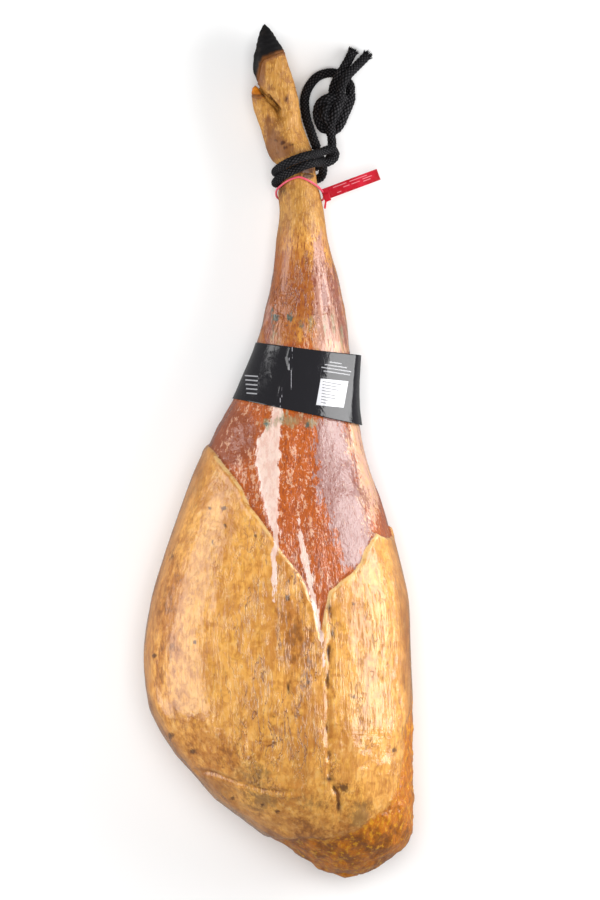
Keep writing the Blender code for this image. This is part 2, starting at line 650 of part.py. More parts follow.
def make_seal(material):
    """Loop, flag, lock and the cut end of the strap, moulded in one piece."""
    ring = strap_ring()
    around = 6
    count = len(ring)
    points = []
    centre = ring.mean(axis=0)
    for index in range(count):
        run = ring[(index + 1) % count] - ring[index - 1]
        run /= np.linalg.norm(run)
        out = ring[index] - centre
        out -= run * out.dot(run)
        out /= np.linalg.norm(out)
        side = np.cross(run, out)
        for step in range(around):
            angle = 2.0 * math.pi * step / around
            offset = STRAP_RADIUS * (math.cos(angle) * out + math.sin(angle) * side)
            points.append(tuple(ring[index] + offset))
    faces = []
    for index in range(count):
        for step in range(around):
            turn = (step + 1) % around
            low = index * around
            high = ((index + 1) % count) * around
            faces.append((low + step, low + turn, high + turn, high + step))
    seal = mesh_object("seal", points, faces, material)
    flag = make_block("flag", TAG_CENTRE, TAG_SIZE, TAG_TURN, TAG_DROOP, material)
    lock = make_block("lock", LOCK_CENTRE, LOCK_SIZE, TAG_TURN, 0.0, material)
    stub = make_block("stub", STUB_CENTRE, STUB_SIZE, STUB_TURN, 0.0, material)
    unite(seal, [flag, lock, stub])
    return seal


def make_block(name, centre, size, turn, droop, material):
    """A rounded-edge block, turned in plan and drooping towards +X."""
    corners = []
    for x in (-0.5, 0.5):
        for y in (-0.5, 0.5):
            for z in (-0.5, 0.5):
                corners.append((x * size[0], y * size[1], z * size[2]))
    faces = [(0, 1, 3, 2), (4, 6, 7, 5), (0, 4, 5, 1), (2, 3, 7, 6), (0, 2, 6, 4), (1, 5, 7, 3)]
    points = []
    for x, y, z in corners:
        tilted = (x * math.cos(droop) + z * math.sin(droop), y, -x * math.sin(droop) + z * math.cos(droop))
        points.append((
            centre[0] + tilted[0] * math.cos(turn) - tilted[1] * math.sin(turn),
            centre[1] + tilted[0] * math.sin(turn) + tilted[1] * math.cos(turn),
            centre[2] + tilted[2],
        ))
    item = mesh_object(name, points, faces, material)
    item.data.shade_flat()
    return item


def make_material(name, colour, roughness, metallic=0.0):
    material = bpy.data.materials.new(name)
    material.use_nodes = True
    shader = material.node_tree.nodes["Principled BSDF"]
    shader.inputs["Base Color"].default_value = (*colour, 1.0)
    shader.inputs["Roughness"].default_value = roughness
    shader.inputs["Metallic"].default_value = metallic
    material.diffuse_color = (*colour, 1.0)
    return material


def make_foot_parts(ham, skin, horn, pale_horn):
    """Toes and dewclaws: their skin is joined to the leg and their horn is left as pieces."""
    toe_skins = []
    for lower, side in ((False, "upper"), (True, "lower")):
        claw = make_toe("hoof_claw_" + side, TOE_SECTIONS, TOE_POLES, lower, 22, 18, horn)
        boolean(claw, coronet_cutter(GAP / 2, horn), "INTERSECT")
        toe_skins.append(make_toe("toe_" + side, TOE_SECTIONS, TOE_POLES, lower, 22, 18, skin))
        tip = make_toe("dewclaw_" + side, DEWCLAW_SECTIONS, DEWCLAW_POLES, lower, 14, 12, pale_horn)
        boolean(tip, dewclaw_cutter(GAP / 2, pale_horn), "INTERSECT")
        finger = make_toe("finger_" + side, DEWCLAW_SECTIONS, DEWCLAW_POLES, lower, 14, 12, skin)
        boolean(finger, dewclaw_cutter(-GAP / 2, skin), "DIFFERENCE")
        toe_skins.append(finger)
    toe_skins.append(make_toe("web", CLEFT_SECTIONS, CLEFT_POLES, False, 12, 12, skin))
    unite(ham, toe_skins)
    boolean(ham, coronet_cutter(-GAP / 2, skin), "DIFFERENCE")


def main():
    clear_scene()
    rind = make_material("rind", (0.62, 0.32, 0.11), 0.3)
    horn = make_material("horn", (0.018, 0.016, 0.016), 0.4)
    pale_horn = make_material("pale_horn", (0.38, 0.16, 0.04), 0.35)
    rope = make_material("rope", (0.02, 0.019, 0.02), 0.8)
    film = make_material("film", (0.018, 0.017, 0.019), 0.2)
    plastic = make_material("plastic", (0.5, 0.02, 0.035), 0.35)

    ham = make_leg(rind)
    make_foot_parts(ham, rind, horn, pale_horn)
    make_band(film)
    make_seal(plastic)
    make_tube("rope_noose", noose_path(), HITCH_RADIUS, rope)
    make_tube("rope_arm_long", smooth_path(LONG_ARM, ROPE_STEP), ROPE_RADIUS, rope)
    make_tube("rope_tail_left", smooth_path(LEFT_TAIL, ROPE_STEP), ROPE_RADIUS, rope)
    make_tube("rope_tail_right", smooth_path(RIGHT_TAIL, ROPE_STEP), ROPE_RADIUS, rope)
    make_knot(rope)


main()
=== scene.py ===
"""Looks of a whole cured ham: oily rind and bare flesh, horn, braided rope, seal and label band.

Tables and routes repeat the part's own, in millimetres, and meshes are made in metres. The leg
lies along Y with its foot towards +Y, cut side up, on the plane z = 0.
"""
import math

import bmesh
import bpy
import numpy as np
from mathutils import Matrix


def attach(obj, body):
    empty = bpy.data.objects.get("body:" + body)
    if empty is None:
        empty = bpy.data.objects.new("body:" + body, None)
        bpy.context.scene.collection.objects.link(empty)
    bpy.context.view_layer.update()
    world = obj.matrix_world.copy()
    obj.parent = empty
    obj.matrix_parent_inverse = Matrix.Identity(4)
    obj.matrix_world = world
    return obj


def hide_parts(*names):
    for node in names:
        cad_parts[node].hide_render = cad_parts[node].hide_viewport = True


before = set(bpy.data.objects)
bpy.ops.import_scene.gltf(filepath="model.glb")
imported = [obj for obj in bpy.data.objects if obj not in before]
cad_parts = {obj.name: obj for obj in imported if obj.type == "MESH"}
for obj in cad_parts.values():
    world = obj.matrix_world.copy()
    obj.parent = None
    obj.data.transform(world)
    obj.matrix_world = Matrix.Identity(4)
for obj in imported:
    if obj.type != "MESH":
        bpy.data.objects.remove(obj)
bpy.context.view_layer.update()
MM = 0.001

# Sections of the leg from the butt to the toes: place along Y, left, right, bottom and top
LEG_SECTIONS = (
    (-388.5, 48, 72, 36, 57),
    (-384, 36, 87, 25, 70),
    (-378, 28, 95, 17, 80),
    (-373, 20, 101, 11, 88),
    (-362, 5, 115, 5, 101),
    (-351, -15, 121, 2, 112),
    (-340, -29, 123, 0, 121),
    (-318, -58, 123, -2, 134),
    (-296, -78, 122.5, -3, 142),
    (-274, -97, 122.5, -3, 147),
    (-252, -111, 123.5, -3, 150),
    (-231, -120, 122, -3, 152),
    (-187, -124, 119.5, -3, 153),
    (-143, -118.5, 117.5, -2, 150),
    (-100, -107, 109, -1, 143),
    (-56, -92, 98, 0, 130),
    (-12, -75.5, 83, 4, 114),
    (20, -59, 74, 7, 102),
    (42, -44.5, 68.5, 9, 95),
    (64, -34.5, 65.5, 10.5, 88),
    (97, -21, 63, 12, 80),
    (130, -13, 58.5, 13, 72),
    (162, -6.5, 52, 13.5, 65),
    (195, -3.5, 43, 13.5, 60),
    (217, -0.5, 39.5, 13, 57),
    (237, -1.5, 35.5, 12.5, 55.5),
    (243, 0.5, 34, 13, 54),
    (250, 1, 33, 13.5, 53),
    (258.5, -0.3, 32, 13, 53.5),
    (264.5, -6.5, 31, 11, 55),
    (272, -11, 30, 9, 55),
    (283, -14, 25.5, 7, 54),
    (292, -14.5, 22.5, 5.5, 52.5),
    (299, -11, 20, 4.5, 52),
    (305, -3, 18.7, 4, 51),
    (312, -2, 18, 5, 50),
    (317, 2, 14, 12, 43),
)
BUTT_POLE = (59, -390, 46)
FOOT_POLE = (8, 319, 27.5)
WIDEST_LEVEL = 0.42           # height of the widest line, as a share of a section's depth
LEG_POWERS = (2.1, 2.6)       # superellipse powers of a section's upper and lower half
TOE_POWERS = (2.3, 2.3)
SEAM_FROM = 246.0             # leg and foot overlap under the rope's turns
SEAM_TO = 253.0

TOE_SECTIONS = (
    (292, -6, 20, 30, 48),
    (305, -1, 18, 27.2, 50.5),
    (312, -2, 17.6, 27, 51),
    (316, -6, 17.2, 26.9, 51),
    (321, -10.8, 16.6, 26.9, 51),
    (326.5, -15.3, 15.5, 27, 51),
    (332, -18.8, 14.2, 27, 50.7),
    (337.5, -21, 12.8, 27.1, 50.5),
    (348.5, -24.6, 8.2, 27.4, 50),
    (359.5, -24.1, 5.4, 28.1, 49),
    (365, -22.3, 3.6, 28.4, 47.5),
    (374, -20.8, -2.1, 28.6, 44),
    (383, -18.3, -7.8, 29.4, 38.5),
    (388, -15.8, -12, 31, 35.5),
)
TOE_TIP = (-14, 389.6, 33)
DEWCLAW_SECTIONS = (
    (270, -9, 6, 32, 43),
    (283, -14.5, 7, 30, 47),
    (295.5, -18, 4, 30, 48.5),
    (304.5, -21.4, -0.5, 31, 49),
    (311, -23.8, -4.2, 31.5, 48.5),
    (316, -25, -8.2, 32, 48),
    (321, -25.8, -13, 33, 47),
    (326.5, -26, -17.6, 34.5, 45.5),
    (330.5, -25.3, -19.5, 36.5, 43.5),
)
DEWCLAW_POLE = (-22.5, 333.3, 40)
# Skin that closes the cleft between the toes and the dewclaws, deep below both
CLEFT_SECTIONS = (
    (292, -16, 6, 10, 45),
    (306, -16, 0, 11, 44),
    (318, -19, -6, 13, 42),
    (326, -22.5, -13, 16, 39),
    (331, -22.5, -17, 19, 36),
)
TOE_MIRROR = 27.5             # level of the plane between the upper and the lower toes
DEWCLAW_TIP = 325.2           # where the dewclaw's horn begins
# Line between skin and horn in plan, from the toe's heel round to its front
CORONET = (
    (-60, 333), (-21.4, 335.6), (-20.2, 338.6), (-18.5, 346.2), (-17.4, 352.6), (-14.5, 357.2),
    (-8.7, 359.6), (-2.8, 362.5), (3.6, 364.2), (14, 370), (60, 400),
)

# Edge of the rind in plan, a V with its point towards the butt, and lines of the relief
RIND_EDGE = (
    (-140, 120), (-64.7, 3.6), (-50, -15), (-35.5, -33), (-28, -50), (-17.8, -62),
    (-3.4, -84), (1.8, -92.5), (20, -114), (31, -141), (37.4, -170), (41, -147),
    (45.3, -127), (56, -118), (66, -111), (74, -101), (79.3, -88), (88, -75),
    (97, -79), (150, -79),
)
RIND_STEP = 2.4
BACK_EDGE = ((-140, 120), (-65, 5), (0, -40), (97, -75), (150, -75))
MAIN_FURROW = (
    (45.3, -127), (47, -166), (44.6, -182), (45.6, -196), (43, -209), (44, -227),
    (42.8, -250), (44.6, -276), (44.6, -297), (53, -312), (53, -331), (57, -353),
)
SIDE_FURROW = (
    (15, -136), (11.5, -197), (8, -214), (8, -266), (17, -293), (17.6, -317),
)
CREST = ((2, 40), (3, 10), (-4.5, -138))
LOWER_STEP = (
    (-118, -215), (-102, -247), (-91, -272), (-75.6, -291), (-35.5, -331), (8, -354),
)
BONE_BUMP = (71.8, -334.3)
SKIN_FOLD = ((-75, -290), (-58, -294), (-38, -301), (-12, -308), (18, -309))
BUTT_EDGE = (
    (105.7, -170), (103.9, -206), (112, -241), (114, -275.6), (112, -289),
    (106, -310), (96.6, -325), (79.3, -337), (69.2, -346), (40, -352),
)
# Pale fat on the flesh: place in plan and half width, in order along each streak
FAT_RIDGE = (
    (-2.7, 46, 3), (-2.7, 33, 4.6), (-6, 18.7, 7.6), (-10.2, 6.8, 10.6), (-11.4, -8.7, 11),
    (-9.6, -25, 9.4), (-8.8, -38.7, 7.9), (-6.1, -63.3, 4.6), (-2.4, -77, 2.8), (-3.6, -92, 2.6),
    (-5, -110, 2.2), (-5.5, -136, 1.2),
)
FAT_STREAK = (
    (17, -62, 0.8), (18.5, -72, 1.8), (20.5, -86, 2.6), (24.3, -106, 3), (29.5, -127, 3),
    (33.4, -146, 2), (38, -168, 1.4), (41, -196, 0.8),
)
# Painted lilac sheen on the right of the flesh, a painted reflection, as a streak
PAINTED_SHEEN_STREAK = (
    (46, 26, 13), (50, 0, 18), (54, -21, 19), (61, -45, 20), (66, -66, 18),
    (68, -84, 14), (69, -100, 6), (70, -108, 1),
)
CREASE_IN_PAINTED_SHEEN = ((57.7, -5), (66, -26), (72, -38), (79, -54))
CLEFT_LINE = ((-10.6, 324), (-7.4, 320.4), (-4, 315.6), (-1.1, 310.8))

# Rope
ROPE_RADIUS = 4.1
HITCH_RADIUS = 3.85
KNOT_RADIUS = 4.5
ROPE_CLEARANCE = 0.8
HITCH_IN = (
    (33.6, 276, 26.6), (34.9, 272.2, 27.8), (37.4, 264.6, 25), (39.3, 256.5, 18.5), (37, 250, 12.5),
    (30.5, 247.5, 8.8),
)
HITCH_BIGHT = (
    (36, 263.2, 38), (42.5, 263, 34.5), (48.3, 266, 33), (50.3, 270.6, 33), (47.6, 275, 34),
    (41.6, 274, 37.5), (35.4, 271.2, 43.5),
)
HITCH_OUT = (
    (31.5, 259.5, 6.6), (40, 262.5, 8.2), (46, 269, 11), (47.5, 278, 12.2), (46.9, 287.7, 12.5),
)
LOWER_TURN = (244.2, 0.43, 0.15)
UPPER_TURN = (253.9, 0.40, 0.13)
TURN_LEFT = (-5, 32)
UPPER_TURN_RISE = 6.0
TURN_END = 36.0
LONG_ARM = (
    (33.3, 276.8, 26.3), (30.5, 284.7, 23.5), (27.1, 294.7, 18), (24, 304.7, 12.5), (22.5, 315.7, 8),
    (22.9, 323.9, 5.6), (26, 332.5, 4.5), (32.4, 340.7, 4.4), (40.1, 344.8, 4.4), (48.3, 345.7, 4.4),
    (55.1, 343.4, 4.4), (60.1, 339.3, 4.5), (64, 333.9, 5.2), (64.3, 327.6, 7.1),
)
LEFT_TAIL = (
    (48.3, 327.6, 9.1), (48.9, 332.1, 10.6), (51.5, 338.4, 13.3), (55.4, 345.3, 13.3), (61, 354.4, 8.8),
    (66.4, 364.9, 4.6),
)
RIGHT_TAIL = (
    (55.2, 327.7, 17.6), (56.4, 333.6, 19.8), (59.4, 339.8, 21), (64.4, 345.9, 17.5), (71.3, 353, 10.4),
    (79.7, 361.7, 4.6),
)
KNOT_STRANDS = (
    ((64.3, 327, 7.3), (64.1, 321, 9.2), (61.5, 313.8, 13), (58.3, 306.6, 14.5), (55.1, 299.3, 13),
     (51, 294.3, 9), (45.6, 293.8, 6)),
    ((55.2, 326.8, 17.5), (54.2, 320.2, 16.2), (52.4, 313.8, 18.5), (49.2, 306.6, 20), (46, 300.2, 16.5),
     (46.4, 294, 13), (46.9, 288.3, 12.5)),
    ((48.3, 327, 8.9), (47.6, 321, 7.6), (44, 313, 9)),
    ((56.5, 320, 10), (51, 322.3, 15), (43.7, 321.8, 16.5), (37.2, 317.5, 15.5), (34.6, 311.1, 13.5),
     (35, 303.8, 11.5), (38.7, 295.8, 9.5), (44.6, 293.8, 8)),
    ((47.5, 315, 14), (43, 313.8, 18.5), (39.8, 309.3, 19.5), (41.5, 303.8, 18.5), (46.5, 302, 15)),
    ((57, 324, 13), (58, 317, 12), (55, 308, 14), (50.5, 300.5, 12), (47.5, 296, 9.5)),
    ((43, 317, 11), (45.5, 308, 14.5), (43, 300, 11)),
)

# Label band
BAND_TOP = (98.5, 85.5)
BAND_BOTTOM = (43, 23)
BAND_SPAN = (-20, 73.7)
BAND_CLEARANCE = 0.9
BAND_THICKNESS = 0.7
BAND_FLARE = 8.6
BAND_SHOULDER = 5.0
BAND_CREASE = ((10.9, 97), (8, 84.3), (10, 73.3), (1.5, 58), (0, 48.7), (-5, 34))

# Seal
STRAP_RADIUS = 1.0
STRAP_CENTRE = 240.0
STRAP_LEVEL = 34.0
STRAP_BEND = (3.5, 5)
STRAP_SLOPE = 0.5
STRAP_CLEARANCE = 1.1
STRAP_SLACK = 1.4
TAG_SIZE = (55, 10.5, 1.6)
TAG_CENTRE = (64.4, 242.8, 32.5)
LOCK_CENTRE = (42.8, 231.2, 36.6)
STUB_CENTRE = (41.4, 224.8, 37)
TAG_TURN = math.radians(20.5)
TAG_DROOP = math.radians(7.0)


def smooth_step(low, high, value):
    share = np.clip((np.asarray(value, dtype=float) - low) / (high - low), 0.0, 1.0)
    return share * share * (3.0 - 2.0 * share)


def window(value, start, full, fade, end):
    """1 from full to fade, going smoothly to 0 at start and end."""
    return smooth_step(start, full, value) * (1.0 - smooth_step(fade, end, value))


def bell(distance, width):
    """1 at no distance, going smoothly to 0 over a few widths."""
    return np.exp(-(distance / width) ** 2)


def smooth_columns(rows, places):
    """Each column of a table of sections, read smoothly and without overshoot at the places."""
    table = np.array(rows, dtype=float)
    known = table[:, 0]
    step = np.diff(known)
    found = []
    for column in table[:, 1:].T:
        slope = np.diff(column) / step
        tangent = np.zeros(len(known))
        same = slope[1:] * slope[:-1] > 0
        weight_a = 2.0 * step[1:] + step[:-1]
        weight_b = step[1:] + 2.0 * step[:-1]
        inner = np.zeros(len(slope) - 1)
        inner[same] = ((weight_a + weight_b)[same]
                       / (weight_a[same] / slope[:-1][same] + weight_b[same] / slope[1:][same]))
        tangent[1:-1] = inner
        tangent[0] = slope[0]
        tangent[-1] = slope[-1]
        index = np.clip(np.searchsorted(known, places) - 1, 0, len(step) - 1)
        share = np.clip((places - known[index]) / step[index], 0.0, 1.0)
        rise = share * share * (3.0 - 2.0 * share)
        found.append(column[index] * (1.0 - rise) + column[index + 1] * rise
                     + step[index] * share * (1.0 - share)
                     * ((1.0 - share) * tangent[index] - share * tangent[index + 1]))
    return found


def section_points(rows, places, angles, powers=LEG_POWERS):
    """Points of the superellipse sections, for matching arrays of places and angles."""
    left, right, bottom, top = smooth_columns(rows, places)
    level = bottom + WIDEST_LEVEL * (top - bottom)
    side = np.cos(angles)
    rise = np.sin(angles)
    power = np.where(rise >= 0.0, powers[0], powers[1])
    reach = np.sign(side) * np.abs(side) ** (2.0 / power)
    lift = np.abs(rise) ** (2.0 / power)
    x = (left + right) / 2 + (right - left) / 2 * reach
    z = np.where(rise >= 0.0, level + (top - level) * lift, level - (level - bottom) * lift)
    return np.stack([x, places, z], axis=-1)


def grid_normals(grid, poles):
    """Outward direction at each point of a lofted grid."""
    before = np.concatenate([np.broadcast_to(poles[0], grid[:1].shape), grid[:-1]])
    after = np.concatenate([grid[1:], np.broadcast_to(poles[1], grid[:1].shape)])
    along = after - before
    around = np.roll(grid, -1, axis=1) - np.roll(grid, 1, axis=1)
    normal = np.cross(along, around)
    return normal / np.maximum(np.linalg.norm(normal, axis=-1, keepdims=True), 1e-9)


def line_distance(points, line):
    """Distance in plan from each point to a line, and the share of the line where it is nearest."""
    corners = np.array(line, dtype=float)[:, :2]
    lengths = np.linalg.norm(np.diff(corners, axis=0), axis=1)
    starts = np.concatenate([[0.0], np.cumsum(lengths)])
    nearest = np.full(points.shape[:-1], 1e9)
    share = np.zeros(points.shape[:-1])
    for index, length in enumerate(lengths):
        start = corners[index]
        run = (corners[index + 1] - start) / length
        offset = points[..., :2] - start
        along = np.clip(offset @ run, 0.0, length)
        distance = np.linalg.norm(offset - along[..., None] * run, axis=-1)
        closer = distance < nearest
        nearest = np.where(closer, distance, nearest)
        share = np.where(closer, (starts[index] + along) / starts[-1], share)
    return nearest, share


def past_line(points, line):
    """Distance past a line that runs from left to right, towards the foot, and negative before it."""
    corners = np.array(line, dtype=float)
    distance, _ = line_distance(points, line)
    past = points[..., 1] > np.interp(points[..., 0], corners[:, 0], corners[:, 1])
    return np.where(past, distance, -distance)


def streak_depth(points, streak):
    """How deep a point lies inside a streak of changing width, in millimetres."""
    corners = np.array(streak, dtype=float)
    lengths = np.linalg.norm(np.diff(corners[:, :2], axis=0), axis=1)
    shares = np.concatenate([[0.0], np.cumsum(lengths)]) / lengths.sum()
    distance, share = line_distance(points, streak)
    return np.interp(share, shares, corners[:, 2]) - distance


def lattice_noise(points, cell, seed):
    """Smooth random values from -1 to 1 that change over cells of the given size."""
    values = np.random.default_rng(seed).uniform(-1.0, 1.0, 8192)
    place = points / np.array(cell, dtype=float) + 1000.5
    low = np.floor(place).astype(np.int64)
    share = place - low
    share = share * share * (3.0 - 2.0 * share)
    total = np.zeros(points.shape[:-1])
    for corner in range(8):
        step = np.array([corner & 1, corner >> 1 & 1, corner >> 2 & 1])
        index = low + step
        mixed = index[..., 0] * 73856093 ^ index[..., 1] * 19349663 ^ index[..., 2] * 83492791
        weight = np.where(step, share, 1.0 - share).prod(axis=-1)
        total += weight * values[mixed % 8192]
    return total


def layered_noise(points, cell, seed, layers=3):
    """Lattice noise with finer, weaker layers on top."""
    total = np.zeros(points.shape[:-1])
    size = np.array(cell, dtype=float)
    for layer in range(layers):
        total += lattice_noise(points, size / 2.0 ** layer, seed + layer) * 0.5 ** layer
    return total


def add_marks(mesh, marks):
    """One float attribute on the mesh's points for each mark."""
    for label, values in marks.items():
        layer = mesh.attributes.new(label, "FLOAT", "POINT")
        layer.data.foreach_set("value", np.asarray(values, dtype=np.float32).ravel())


def place_object(name, data):
    item = bpy.data.objects.new(name, data)
    bpy.context.scene.collection.objects.link(item)
    return item


def make_object(name, points, faces, material, marks=None):
    """A smooth mesh from points in millimetres, with its marks."""
    mesh = bpy.data.meshes.new(name)
    mesh.from_pydata((np.asarray(points, dtype=float) * MM).tolist(), [], faces)
    add_marks(mesh, marks or {})
    mesh.materials.append(material)
    mesh.shade_smooth()
    mesh.update()
    return place_object(name, mesh)


def ring_faces(low, high, around):
    """Faces between two rings of points, given the number of each ring's first point."""
    faces = []
    for step in range(around):
        turn = (step + 1) % around
        faces.append((low + step, high + step, high + turn, low + turn))
    return faces


def loft(grid, poles):
    """Points and outward faces of a closed body: rings of points, each end drawn in to its pole."""
    rings, around = grid.shape[:2]
    points = np.concatenate([grid.reshape(-1, 3), np.array(poles, dtype=float)])
    faces = []
    for ring in range(rings - 1):
        faces += ring_faces(ring * around, (ring + 1) * around, around)
    last = (rings - 1) * around
    for step in range(around):
        turn = (step + 1) % around
        faces.append((rings * around, step, turn))
        faces.append((rings * around + 1, last + turn, last + step))
    return points, faces


def merge(parts):
    """Points and faces of several bodies as one."""
    points = []
    faces = []
    for part_points, part_faces in parts:
        shift = sum(len(group) for group in points)
        points.append(part_points)
        faces += [tuple(index + shift for index in face) for face in part_faces]
    return np.concatenate(points), faces


def apply_modifiers(item):
    bpy.context.view_layer.update()
    evaluated = item.evaluated_get(bpy.context.evaluated_depsgraph_get())
    mesh = bpy.data.meshes.new_from_object(evaluated)
    item.modifiers.clear()
    item.data = mesh


def smooth_path(route, spacing):
    """Evenly spaced points on a smooth curve through the route's own points."""
    points = np.array(route, dtype=float)
    padded = np.concatenate([[2 * points[0] - points[1]], points, [2 * points[-1] - points[-2]]])
    fine = []
    for index in range(len(points) - 1):
        before, start, end, after = padded[index:index + 4]
        for share in np.linspace(0.0, 1.0, 24, endpoint=False):
            fine.append(0.5 * (2 * start + (end - before) * share
                               + (2 * before - 5 * start + 4 * end - after) * share ** 2
                               + (3 * start - before - 3 * end + after) * share ** 3))
    fine.append(points[-1])
    fine = np.array(fine)
    travelled = np.concatenate([[0.0], np.cumsum(np.linalg.norm(np.diff(fine, axis=0), axis=1))])
    count = max(4, int(round(travelled[-1] / spacing)) + 1)
    wanted = np.linspace(0.0, travelled[-1], count)
    return np.stack([np.interp(wanted, travelled, fine[:, axis]) for axis in range(3)], axis=1)


class Shade:
    """A material's node graph, made by short calls that return sockets."""

    def __init__(self, name):
        self.material = bpy.data.materials.new(name)
        self.material.use_nodes = True
        self.nodes = self.material.node_tree.nodes
        self.links = self.material.node_tree.links
        self.shader = self.nodes["Principled BSDF"]
        self.place = self.nodes.new("ShaderNodeTexCoord").outputs["Object"]

    def feed(self, socket, value):
        if isinstance(value, bpy.types.NodeSocket):
            self.links.new(value, socket)
        elif isinstance(value, tuple) and socket.type == "RGBA":
            socket.default_value = (*value, 1.0)
        else:
            socket.default_value = value

    def set(self, **values):
        """Values on the shader's own sockets, with _ for a space in a socket's name."""
        for name, value in values.items():
            self.feed(self.shader.inputs[name.replace("_", " ")], value)

    def mark(self, name):
        node = self.nodes.new("ShaderNodeAttribute")
        node.attribute_name = name
        return node.outputs["Fac"]

    def sum(self, first, second, kind="ADD"):
        node = self.nodes.new("ShaderNodeMath")
        node.operation = kind
        self.feed(node.inputs[0], first)
        self.feed(node.inputs[1], second)
        return node.outputs[0]

    def times(self, first, second):
        return self.sum(first, second, "MULTIPLY")

    def plus(self, first, second, share):
        """The first value with a share of the second added."""
        return self.sum(first, self.times(second, share))

    def swing(self, value, size):
        """A noise's swing about its middle, times the given size."""
        return self.times(self.sum(value, -0.5), size)

    def step(self, value, low, high, start=0.0, end=1.0):
        """Smooth change from start to end while the value goes from low to high."""
        node = self.nodes.new("ShaderNodeMapRange")
        node.interpolation_type = "SMOOTHSTEP"
        self.feed(node.inputs["Value"], value)
        for name, number in (("From Min", low), ("From Max", high), ("To Min", start), ("To Max", end)):
            node.inputs[name].default_value = number
        return node.outputs["Result"]

    def mix(self, first, second, share):
        node = self.nodes.new("ShaderNodeMix")
        node.data_type = "RGBA"
        self.feed(node.inputs[0], share)
        self.feed(node.inputs[6], first)
        self.feed(node.inputs[7], second)
        return node.outputs[2]

    def layers(self, colour, rows, mask=None):
        """A colour under others, each laid on where its value goes from low to high, up to its amount."""
        for over, value, low, high, amount in rows:
            share = self.step(value, low, high, 0.0, amount)
            colour = self.mix(colour, over, share if mask is None else self.times(mask, share))
        return colour

    def stretched(self, cell):
        """Places counted in cells of the given size in millimetres."""
        node = self.nodes.new("ShaderNodeVectorMath")
        node.operation = "MULTIPLY"
        self.links.new(self.place, node.inputs[0])
        node.inputs[1].default_value = tuple(1.0 / (MM * size) for size in cell)
        return node.outputs[0]

    def noise(self, cell, detail=2.0, roughness=0.5, distortion=0.0):
        node = self.nodes.new("ShaderNodeTexNoise")
        self.links.new(self.stretched(cell), node.inputs["Vector"])
        node.inputs["Scale"].default_value = 1.0
        node.inputs["Detail"].default_value = detail
        node.inputs["Roughness"].default_value = roughness
        node.inputs["Distortion"].default_value = distortion
        return node.outputs["Fac"]

    def spots(self, cell):
        """Distance from the nearest of scattered centres, in cells, and a colour for each."""
        node = self.nodes.new("ShaderNodeTexVoronoi")
        self.links.new(self.stretched(cell), node.inputs["Vector"])
        node.inputs["Scale"].default_value = 1.0
        return node.outputs["Distance"], node.outputs["Color"]

    def bump(self, height, distance, below=None):
        node = self.nodes.new("ShaderNodeBump")
        node.inputs["Strength"].default_value = 1.0
        node.inputs["Distance"].default_value = distance * MM
        self.feed(node.inputs["Height"], height)
        if below is not None:
            self.links.new(below, node.inputs["Normal"])
        return node.outputs["Normal"]


def paint(red, green, blue):
    """A colour in linear light from its usual 0 to 255 values."""
    return tuple((value / 255.0) ** 2.2 for value in (red, green, blue))


RIND_GOLD = paint(223, 160, 75)
RIND_BROWN = paint(168, 102, 38)
RIND_DARK = paint(82, 48, 18)
RIND_YELLOW = paint(231, 171, 70)
RIND_PALE = paint(236, 190, 118)
RIND_GREY = paint(136, 100, 54)
SIDE_PINK = paint(190, 130, 74)
SIDE_BROWN = paint(132, 80, 36)
CRUST_ORANGE = paint(188, 108, 10)
CRUST_BROWN = paint(142, 80, 4)
CRUST_YELLOW = paint(214, 150, 28)
# Pale cut fat at the rind's edge, also a painted highlight on its raised lip
CUT_FAT_AND_HIGHLIGHT = paint(234, 198, 136)
FLESH_ORANGE = paint(178, 86, 18)
FLESH_RED = paint(142, 64, 26)
FLESH_BROWN = paint(140, 70, 36)
FLESH_PALE = paint(216, 164, 132)
# Painted sheen: a lilac tint that stands in for a reflection on the flesh
PAINTED_SHEEN_LILAC = paint(158, 122, 118)
FAT_WHITE = paint(234, 206, 192)
FAT_PINK = paint(218, 172, 156)
SHANK_BROWN = paint(154, 80, 20)
# Painted sheen on the shank's right side
SHANK_PAINTED_SHEEN = paint(184, 132, 114)
SHANK_RED = paint(128, 62, 40)
FOOT_TAN = paint(180, 128, 60)
FOOT_SHADE = paint(150, 100, 48)
FOOT_PURPLE = paint(116, 74, 44)
INK_TEAL = paint(34, 84, 80)
INK_OLIVE = paint(140, 136, 100)
# Dark spots and pores, and painted shade in pits and in the foot's cleft
DARK_SPOT_AND_RECESS_SHADE = paint(52, 28, 14)


